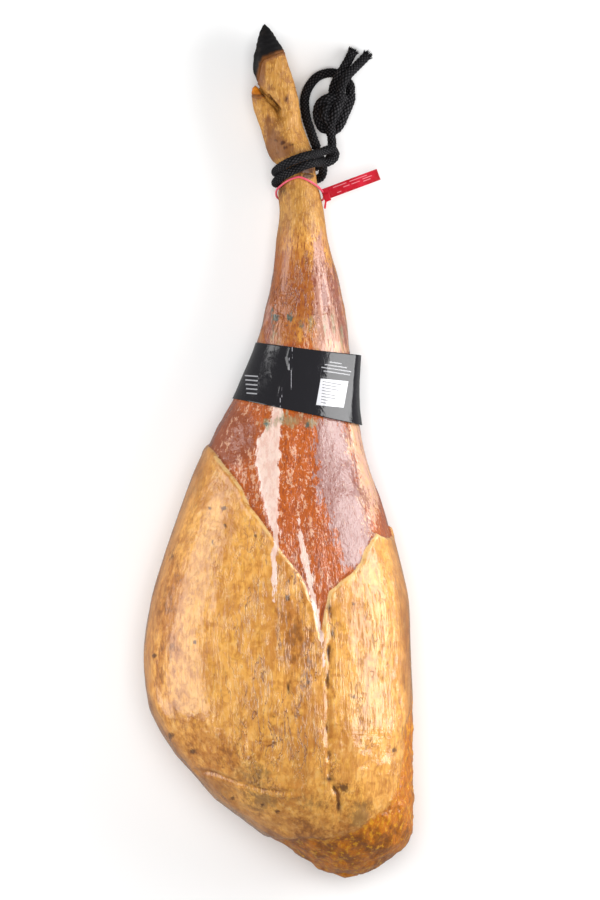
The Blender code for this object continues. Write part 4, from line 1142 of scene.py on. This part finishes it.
def make_foot(material):
    """The foot's skin: shank end, toes and dewclaws melted into one body."""
    rings = 70
    around = 96
    places = np.linspace(SEAM_FROM, 317.0, rings)
    angles = np.linspace(0.0, 2.0 * math.pi, around, endpoint=False)
    shank = section_points(LEG_SECTIONS, np.repeat(places, around), np.tile(angles, rings))
    shank = shank.reshape(rings, around, 3)
    parts = [loft(shank, [shank[0].mean(axis=0), FOOT_POLE])]
    for lower in (False, True):
        for rows, low, high, around in (
            (TOE_SECTIONS, 292.0, 372.0, 72),
            (DEWCLAW_SECTIONS, 270.0, 330.5, 48),
        ):
            grid = toe_grid(rows, low, high, 60, around, lower)
            parts.append(loft(grid, [grid[0].mean(axis=0), grid[-1].mean(axis=0)]))
    web = toe_grid(CLEFT_SECTIONS, 292.0, 332.0, 40, 48, False)
    parts.append(loft(web, [web[0].mean(axis=0), web[-1].mean(axis=0)]))
    foot = make_object("ham_foot", *merge(parts), material)
    remesh = foot.modifiers.new("remesh", "REMESH")
    remesh.mode = "VOXEL"
    remesh.voxel_size = 0.85 * MM
    smooth = foot.modifiers.new("smooth", "SMOOTH")
    smooth.factor = 0.5
    smooth.iterations = 6
    apply_modifiers(foot)
    mesh = foot.data
    points, normals = vertex_arrays(mesh)
    relief = 0.5 * layered_noise(points, (13.0, 18.0, 13.0), 71)
    relief += 0.32 * layered_noise(points, (4.0, 9.0, 4.0), 81)
    past_dewclaw = np.where(points[:, 0] < -12.0, points[:, 1] - DEWCLAW_TIP, -5.0)
    past_dewclaw = np.where(points[:, 1] < 334.0, past_dewclaw, -5.0)
    past = np.maximum(past_line(points, CORONET), np.where(is_finger(points), past_dewclaw, -5.0))
    warped = points.copy()
    warped[:, 0] += 1.1 * layered_noise(points, (4.5, 6.0, 4.5), 85, 2)
    cleft, _ = line_distance(warped, CLEFT_LINE)
    upward = smooth_step(-0.05, 0.3, normals[:, 2])
    relief -= 1.5 * upward * bell(cleft, 1.3)
    relief = relief * (1.0 - smooth_step(-2.0, 1.0, past)) - 1.7 * smooth_step(-0.9, 0.7, past)
    relief += 0.35 * bell(past + 1.6, 1.1)
    seam = 1.0 - smooth_step(252.0, 257.0, points[:, 1])
    relief = relief * (1.0 - seam) - 0.12 * seam
    moved = points + normals * relief[:, None]
    mesh.vertices.foreach_set("co", (moved * MM).ravel())
    coronet = 0.8 * bell(past + 1.5, 2.6)
    marks = dict.fromkeys(
        ("creased", "stain", "grey", "pale_fat_and_sheen", "ink", "painted_pit_shade", "steep", "painted_groove_shade", "fold"), np.zeros(len(points)))
    for label, value in (
        ("flesh", 40.0), ("fat", -20.0), ("shin", 1.0), ("crust", -50.0), ("matte", 0.9), ("painted_sheen", -20.0),
    ):
        marks[label] = np.full(len(points), value)
    marks["brown"] = blobs(points, FOOT_BROWN) + coronet
    # Dark spots, painted shade along the cleft between the toes, and a darker coronet
    marks["dark"] = (blobs(points, FOOT_DARK) + 0.95 * bell(cleft, 1.15)) * upward + 0.4 * coronet
    add_marks(mesh, marks)
    mesh.materials.clear()
    mesh.materials.append(material)
    mesh.shade_smooth()
    mesh.update()
    return foot


def is_finger(points):
    """True on a dewclaw, which lies left of the toe beside it."""
    edge = np.interp(points[:, 1], (304.0, 316.0, 326.5, 334.0), (-2.0, -8.0, -16.2, -19.0))
    return points[:, 0] < edge


def make_horn(name, rows, low, pole, past_skin, rings, around, lower, material):
    """A claw of horn that grows out from under the skin's edge."""
    grid = toe_grid(rows, low, rows[-1][0], rings, around, lower)
    tip = (pole[0], pole[1], 2 * TOE_MIRROR - pole[2] if lower else pole[2])
    poles = np.array([grid[0].mean(axis=0), tip])
    normals = grid_normals(grid, poles)
    past = past_skin(grid)
    relief = -1.5 * (1.0 - smooth_step(-1.2, 0.5, past))
    grooves = np.sin(past * 1.35 + 1.2 * lattice_noise(grid, (9.0, 9.0, 9.0), 91))
    relief += 0.16 * grooves * smooth_step(0.0, 3.0, past)
    relief += 0.3 * layered_noise(grid, (8.0, 12.0, 8.0), 95) * smooth_step(0.0, 3.0, past)
    points, faces = loft(grid + normals * relief[..., None], poles)
    marks = {"past": np.concatenate([past.ravel(), past[0, :1], past[-1, :1]])}
    return make_object(name, points, faces, material, marks)


def braid_height(turn, travelled, radius):
    """Height of interlaced strands, from 0 to 1, round and along a rope."""
    strands = 8
    pitch = 2.0 * math.pi * radius / strands / math.tan(math.radians(38.0))
    first = strands * turn / (2.0 * math.pi) + travelled / pitch
    second = strands * turn / (2.0 * math.pi) - travelled / pitch
    over = (np.floor(first) + np.floor(second)) % 2 == 0
    bulge_a = np.abs(np.sin(math.pi * first))
    bulge_b = np.abs(np.sin(math.pi * second))
    return np.where(over, bulge_a ** 0.55 * bulge_b ** 0.3, bulge_b ** 0.55 * bulge_a ** 0.3)


def tube_frames(path):
    """Direction, side and rise at each point of a path, without twist."""
    run = np.gradient(path, axis=0)
    run /= np.linalg.norm(run, axis=1, keepdims=True)
    side = np.cross(run[0], (0.0, 0.0, 1.0))
    sides = np.zeros_like(path)
    for index in range(len(path)):
        side = side - run[index] * side.dot(run[index])
        side /= np.linalg.norm(side)
        sides[index] = side
    return run, sides, np.cross(run, sides)


def braided_rope(path, radius, reach):
    """Points, faces and crown marks of a braided rope along a path, closed at its ends."""
    run, sides, rises = tube_frames(path)
    spacing = np.linalg.norm(path[1] - path[0])
    ends = []
    for index, count in ((0, reach[0]), (-1, reach[1])):
        steps = np.arange(1, int(round(count / spacing)) + 1)[:, None] * spacing
        ends.append(path[index] + (run[index] if index else -run[index]) * steps)
    before = len(ends[0])
    path = np.concatenate([ends[0][::-1], path, ends[1]])
    run = np.concatenate([np.repeat(run[:1], before, 0), run, np.repeat(run[-1:], len(ends[1]), 0)])
    sides = np.concatenate([np.repeat(sides[:1], before, 0), sides, np.repeat(sides[-1:], len(ends[1]), 0)])
    rises = np.cross(run, sides)
    around = 44
    turn = np.linspace(0.0, 2.0 * math.pi, around, endpoint=False)
    travelled = np.arange(len(path)) * spacing
    height = braid_height(turn[None, :], travelled[:, None], radius)
    reach_out = radius - 0.9 + 1.25 * height
    count = len(path)
    dome = np.minimum(np.arange(count), np.arange(count)[::-1]) * spacing
    dome = np.sqrt(np.clip(1.0 - (1.0 - np.clip(dome / 1.4, 0.0, 1.0)) ** 2, 0.12, 1.0))
    reach_out = reach_out * dome[:, None]
    ring = np.cos(turn)[None, :, None] * sides[:, None, :] + np.sin(turn)[None, :, None] * rises[:, None, :]
    grid = path[:, None, :] + reach_out[..., None] * ring
    points, faces = loft(grid, [path[0], path[-1]])
    crown = np.concatenate([height.ravel(), [0.5, 0.5]])
    return points, faces, crown


ROPE_STEP = 0.62              # distance between a rope's rings
FIBRES = 150                  # in each frayed end


def frayed_end(tip, direction, radius, seed):
    """Points and faces of short fibres that spread from a cut end."""
    rng = np.random.default_rng(seed)
    direction = direction / np.linalg.norm(direction)
    side = np.cross(direction, (0.0, 0.0, 1.0))
    side /= np.linalg.norm(side)
    rise = np.cross(direction, side)
    points = []
    faces = []
    for _ in range(FIBRES):
        angle = rng.uniform(0.0, 2.0 * math.pi)
        out = radius * math.sqrt(rng.uniform(0.0, 1.0)) * 0.95
        radial = math.cos(angle) * side + math.sin(angle) * rise
        spread = direction + radial * (0.42 * out / radius + rng.normal(0.0, 0.14)) + rng.normal(0.0, 0.12, 3)
        spread /= np.linalg.norm(spread)
        start = tip + radial * out - direction * 1.2
        length = rng.uniform(2.2, 4.3)
        across = np.cross(spread, rise)
        across /= np.linalg.norm(across)
        other = np.cross(spread, across)
        base = sum(len(group) for group in points)
        bend = radial * rng.uniform(-0.3, 0.6)
        rings = []
        for share, thick in ((0.0, 0.3), (0.5, 0.27), (1.0, 0.14)):
            centre = start + spread * length * share + bend * share * share
            for corner in range(4):
                turn = math.pi / 2 * corner
                rings.append(centre + thick * (math.cos(turn) * across + math.sin(turn) * other))
        points.append(np.array(rings))
        for level in range(2):
            for corner in range(4):
                after = (corner + 1) % 4
                low = base + level * 4
                faces.append((low + corner, low + after, low + 4 + after, low + 4 + corner))
        faces.append((base + 3, base + 2, base + 1, base))
        faces.append((base + 8, base + 9, base + 10, base + 11))
    points = np.concatenate(points)
    points[:, 2] = np.maximum(points[:, 2], 0.1)
    return points, faces


def join_parts(name, parts, material):
    """One object from several groups of points, faces and crown marks."""
    points, faces = merge([part[:2] for part in parts])
    return make_object(name, points, faces, material, {"crown": np.concatenate([part[2] for part in parts])})


def outward_at(places, angles):
    """Direction out of the leg, square to its length, for matching places along Y and angles."""
    ahead = section_points(LEG_SECTIONS, places, angles + 0.02)
    run = ahead - section_points(LEG_SECTIONS, places, angles - 0.02)
    outward = np.stack([run[:, 2], np.zeros(len(angles)), -run[:, 0]], axis=1)
    return outward / np.linalg.norm(outward, axis=1, keepdims=True)


def round_shank(places, angles):
    """Rope centres round the shank for matching places along Y and angles."""
    centre = section_points(LEG_SECTIONS, places, angles)
    return centre + outward_at(places, angles) * (HITCH_RADIUS + ROPE_CLEARANCE)


def turn_over(turn, angle_from, angle_to, count, rise):
    """A turn over the top of the shank, leaning as its slopes say."""
    left, across, upward = turn
    angles = np.radians(np.linspace(angle_from, angle_to, count))
    places = np.full(count, left)
    for _ in range(6):
        points = round_shank(places, angles)
        places = left + across * (points[:, 0] - TURN_LEFT[0]) + upward * (points[:, 2] - TURN_LEFT[1])
    points[:, 2] += rise * np.sqrt(np.sin(angles))
    return [tuple(point) for point in points]


def turn_under(place_from, place_to, angle_from, angle_to, count):
    """A turn under the shank, evenly from one place along Y to another."""
    angles = np.radians(np.linspace(angle_from, angle_to, count))
    return [tuple(point) for point in round_shank(np.linspace(place_from, place_to, count), angles)]


def hitch_route():
    """The hitch: in under the bight, round, over and back round the shank, and out to the knot."""
    route = list(HITCH_IN)
    route += turn_under(246.5, LOWER_TURN[0], 285.0, 190.0, 5)
    route += turn_over(LOWER_TURN, 165.0, TURN_END, 6, 0.0)
    route += list(HITCH_BIGHT)
    route += turn_over(UPPER_TURN, TURN_END + 6.0, 165.0, 6, UPPER_TURN_RISE)
    route += turn_under(UPPER_TURN[0], 258.0, 190.0, 285.0, 5)
    route += list(HITCH_OUT)
    return route


def make_rope(material):
    """Hitch, knot, long arm and both tails, all of the same braid."""
    hitch = join_parts("braided_hitch", [
        braided_rope(smooth_path(hitch_route(), ROPE_STEP), HITCH_RADIUS, (0.0, 0.6))], material)
    strands = [braided_rope(smooth_path(route, ROPE_STEP), KNOT_RADIUS, (1.0, 1.0)) for route in KNOT_STRANDS]
    knot = join_parts("braided_knot", strands, material)
    arm_path = smooth_path(LONG_ARM, ROPE_STEP)
    arm = join_parts("braided_arm", [braided_rope(arm_path, ROPE_RADIUS, (1.2, 0.6))], material)
    tails = []
    for name, route, seed in (("braided_tail_left", LEFT_TAIL, 5), ("braided_tail_right", RIGHT_TAIL, 6)):
        path = smooth_path(route, ROPE_STEP)
        body = braided_rope(path, ROPE_RADIUS, (0.6, 0.0))
        fibres, faces = frayed_end(path[-1], path[-1] - path[-4], ROPE_RADIUS, seed)
        tail = join_parts(name, [body, (fibres, faces, np.full(len(fibres), 0.7))], material)
        tails.append(tail)
    return hitch, knot, (arm, arm_path), tails


def band_ring(share, offset, angles):
    """One ring of the label band: its share of the way from the upper to the lower rim."""
    left = BAND_TOP[0] + (BAND_BOTTOM[0] - BAND_TOP[0]) * share
    right = BAND_TOP[1] + (BAND_BOTTOM[1] - BAND_TOP[1]) * share
    places = np.full(len(angles), (left + right) / 2)
    for _ in range(6):
        points = section_points(LEG_SECTIONS, places, angles)
        across = (points[:, 0] - BAND_SPAN[0]) / (BAND_SPAN[1] - BAND_SPAN[0])
        places = left + (right - left) * across
    points = points + outward_at(places, angles) * np.asarray(offset)[..., None]
    points[:, 0] += BAND_FLARE * (1.0 - share) * np.clip(np.cos(angles - math.radians(8.0)), 0.0, 1.0) ** 2.5
    points[:, 2] += BAND_SHOULDER * (1.0 - 0.4 * share) * bell(angles - 0.38, 0.22)
    return points


def make_band(material):
    """A thin creased sleeve: up the outside, over the rim and down the inside."""
    around = 260
    angles = np.linspace(0.0, 2.0 * math.pi, around, endpoint=False)
    outer = []
    inner = []
    for share in np.linspace(0.0, 1.0, 64):
        plain = band_ring(share, np.zeros(len(angles)), angles)
        distance, _ = line_distance(plain, BAND_CREASE)
        ridge = 1.1 * bell(distance, 1.3) - 0.5 * bell(distance - 4.0, 3.0)
        fold = np.where(np.sin(angles) > 0.2, ridge, 0.0)
        wave = 0.22 * layered_noise(plain, (26.0, 34.0, 26.0), 101, 2)
        wave += 0.12 * np.abs(lattice_noise(plain, (9.0, 30.0, 9.0), 105))
        wave = wave + fold + 0.25
        outer.append(band_ring(share, BAND_CLEARANCE + BAND_THICKNESS + wave, angles))
        inner.append(band_ring(share, BAND_CLEARANCE + 0.25 + wave, angles))
    rings = outer + inner[::-1]
    count = len(rings)
    faces = []
    for ring in range(count):
        quads = ring_faces(((ring + 1) % count) * around, ring * around, around)
        faces += [quad[1:] + quad[:1] for quad in quads]
    front = np.tile((np.sin(angles) > 0.0).astype(float), count)
    return make_object("film_band", np.concatenate(rings), faces, material, {"front": front})


def strap_ring(count):
    """Centre line of the seal's loop, which leans towards the foot at its top."""
    angles = np.linspace(0.0, 2.0 * math.pi, count, endpoint=False)
    places = np.full(len(angles), STRAP_CENTRE)
    for _ in range(8):
        points = section_points(LEG_SECTIONS, places, angles)
        places = STRAP_CENTRE + STRAP_SLOPE * (points[:, 2] - STRAP_LEVEL)
        places = places - STRAP_BEND[0] * np.clip(-np.cos(angles), 0.0, 1.0)
        places = places - STRAP_BEND[1] * np.clip(np.cos(angles), 0.0, 1.0)
    points[:, 1] = places
    centre = points.mean(axis=0)
    outward = points - centre
    outward[:, 1] = 0.0
    outward /= np.linalg.norm(outward, axis=1, keepdims=True)
    points = points + outward * (STRAP_RADIUS + STRAP_CLEARANCE)
    points[:, 0] += STRAP_SLACK * np.clip(np.cos(angles), 0.0, 1.0) ** 2
    return points


def add_block(work, centre, size, turn, droop, edge):
    """A block with rounded edges, turned in plan and drooping towards +X."""
    made = bmesh.ops.create_cube(work, size=1.0)
    for vertex in made["verts"]:
        x, y, z = (vertex.co[axis] * size[axis] for axis in range(3))
        tilted = (x * math.cos(droop) + z * math.sin(droop), y, -x * math.sin(droop) + z * math.cos(droop))
        vertex.co = (
            (centre[0] + tilted[0] * math.cos(turn) - tilted[1] * math.sin(turn)) * MM,
            (centre[1] + tilted[0] * math.sin(turn) + tilted[1] * math.cos(turn)) * MM,
            (centre[2] + tilted[2]) * MM,
        )
    edges = list({link for vertex in made["verts"] for link in vertex.link_edges})
    bmesh.ops.bevel(work, geom=edges, offset=edge * MM, segments=3, profile=0.5, affect="EDGES")


def make_seal(material):
    """Loop, flag with a raised rim, lock and the cut end of the strap."""
    count = 120
    ring = strap_ring(count)
    around = 12
    centre = ring.mean(axis=0)
    work = bmesh.new()
    rows = []
    for index in range(count):
        run = ring[(index + 1) % count] - ring[index - 1]
        run /= np.linalg.norm(run)
        out = ring[index] - centre
        out -= run * out.dot(run)
        out /= np.linalg.norm(out)
        side = np.cross(run, out)
        row = []
        for step in range(around):
            angle = 2.0 * math.pi * step / around
            place = ring[index] + STRAP_RADIUS * (math.cos(angle) * out + math.sin(angle) * side)
            row.append(work.verts.new(tuple(place * MM)))
        rows.append(row)
    for index in range(count):
        ahead = rows[(index + 1) % count]
        for step in range(around):
            turn = (step + 1) % around
            work.faces.new((rows[index][step], rows[index][turn], ahead[turn], ahead[step]))
    strap_count = len(work.verts)
    add_block(work, TAG_CENTRE, TAG_SIZE, TAG_TURN, TAG_DROOP, 0.35)
    length, width, thickness = TAG_SIZE
    tag_axes = (
        np.array([math.cos(TAG_DROOP) * math.cos(TAG_TURN), math.cos(TAG_DROOP) * math.sin(TAG_TURN),
                  -math.sin(TAG_DROOP)]),
        np.array([-math.sin(TAG_TURN), math.cos(TAG_TURN), 0.0]),
    )
    raised = thickness / 2 + 0.1
    for along, across, size in (
        (0.0, width / 2 - 0.6, (length - 1.2, 0.7, 0.5)), (0.0, -width / 2 + 0.6, (length - 1.2, 0.7, 0.5)),
        (length / 2 - 0.7, 0.0, (0.7, width - 1.2, 0.5)), (-length / 2 + 8.0, 0.0, (0.7, width - 1.2, 0.5)),
    ):
        place = np.array(TAG_CENTRE) + tag_axes[0] * along + tag_axes[1] * across + (0.0, 0.0, raised)
        add_block(work, place, size, TAG_TURN, TAG_DROOP, 0.12)
    add_block(work, LOCK_CENTRE, (6.0, 7.5, 4.2), TAG_TURN, 0.0, 0.8)
    add_block(work, STUB_CENTRE, (1.8, 8.0, 1.4), math.radians(-8.0), 0.0, 0.4)
    bmesh.ops.recalc_face_normals(work, faces=work.faces)
    mesh = bpy.data.meshes.new("red_seal")
    work.to_mesh(mesh)
    work.free()
    add_marks(mesh, {"thin": np.arange(len(mesh.vertices)) < strap_count})
    mesh.materials.append(material)
    mesh.shade_smooth()
    mesh.set_sharp_from_angle(angle=math.radians(50.0))
    return place_object("red_seal", mesh)


PHOTO_HEIGHT = 820.0          # how much of the object's plane the picture's height shows
PHOTO_CENTRE = (18.2, 0.5)
CAMERA_HEIGHT = 12000.0
FOCUS_LEVEL = 60.0            # level of the outline, where the picture's scale holds


def make_camera():
    data = bpy.data.cameras.new("camera")
    data.sensor_fit = "VERTICAL"
    data.sensor_height = 36.0
    data.sensor_width = 36.0
    data.lens = 36.0 * (CAMERA_HEIGHT - FOCUS_LEVEL) / PHOTO_HEIGHT
    data.clip_end = 60.0
    camera = place_object("camera", data)
    camera.location = (PHOTO_CENTRE[0] * MM, PHOTO_CENTRE[1] * MM, CAMERA_HEIGHT * MM)
    bpy.context.scene.camera = camera


def add_softbox(name, place, target, size, power):
    data = bpy.data.lights.new(name, "AREA")
    data.shape = "RECTANGLE"
    data.size = size[0]
    data.size_y = size[1]
    data.energy = power
    light = place_object(name, data)
    light.location = place
    direction = [target[axis] - place[axis] for axis in range(3)]
    length = math.sqrt(sum(part * part for part in direction))
    light.rotation_mode = "XYZ"
    light.rotation_euler = (
        math.acos(-direction[2] / length), 0.0, math.atan2(direction[1], direction[0]) - math.pi / 2)
    light.visible_camera = False
    return light


def make_stage(material):
    """A plain pale floor, a softbox at each side, soft light from above and a dim sky."""
    mesh = bpy.data.meshes.new("floor")
    half = 8.0
    mesh.from_pydata([(-half, -half, 0.0), (half, -half, 0.0), (half, half, 0.0), (-half, half, 0.0)], [],
                     [(0, 1, 2, 3)])
    mesh.materials.append(material)
    floor = place_object("floor", mesh)
    floor.location = (0.0, 0.0, -0.0004)
    floor.visible_glossy = False
    add_softbox("softbox_left", (-0.85, -0.04, 0.38), (0.0, -0.04, 0.14), (1.28, 0.7), 7.8)
    add_softbox("softbox_right", (0.85, 0.13, 0.38), (0.0, 0.13, 0.14), (0.98, 0.78), 12.0)
    fill = add_softbox("fill_above", (0.0, -0.05, 2.4), (0.0, -0.05, 0.0), (1.6, 1.2), 33.0)
    fill.visible_glossy = False
    world = bpy.data.worlds.new("world")
    bpy.context.scene.world = world
    world.use_nodes = True
    nodes = world.node_tree.nodes
    nodes["Background"].inputs["Color"].default_value = (1.0, 1.0, 1.0, 1.0)
    nodes["Background"].inputs["Strength"].default_value = 0.24
    bpy.context.scene.view_settings.view_transform = "Standard"


def claim(piece, slot, *nodes):
    """Ties a finished piece to the body and hides the nodes that it replaces; the slot, for the material it
    stands for, is not used.
    """
    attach(piece, "root")
    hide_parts(*nodes)


def main():
    make_camera()
    make_stage(floor_material())
    rope = rope_material()
    hitch, knot, (arm, arm_path), tails = make_rope(rope)
    claim(hitch, "rope_braid", "rope_noose")
    claim(knot, "rope_braid", "rope_knot")
    claim(arm, "rope_braid", "rope_arm_long")
    for tail, node in zip(tails, ("rope_tail_left", "rope_tail_right")):
        claim(tail, "rope_braid", node)
    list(tails)
    skin = ham_material()
    claim(make_leg(skin), "ham_surface", "ham")
    claim(make_foot(skin), "ham_surface", "ham")
    black = horn_material("black_horn", (0.006, 0.0055, 0.006), (0.028, 0.022, 0.018), 0.5)
    brown = horn_material("brown_horn", paint(204, 122, 34), paint(130, 66, 22), 0.6)
    for lower, side in ((False, "upper"), (True, "lower")):
        claw = make_horn("horn_claw_" + side, TOE_SECTIONS, 330.0, TOE_TIP,
                         lambda points: past_line(points, CORONET), 90, 84, lower, black)
        claim(claw, "black_horn", "hoof_claw_" + side)
        tip = make_horn("horn_dewclaw_" + side, DEWCLAW_SECTIONS, 321.0, DEWCLAW_POLE,
                        lambda points: points[..., 1] - DEWCLAW_TIP, 24, 40, lower, brown)
        claim(tip, "brown_horn", "dewclaw_" + side)
    claim(make_band(band_material()), "band_film", "label_band")
    claim(make_seal(seal_material()), "seal_plastic", "seal")


main()
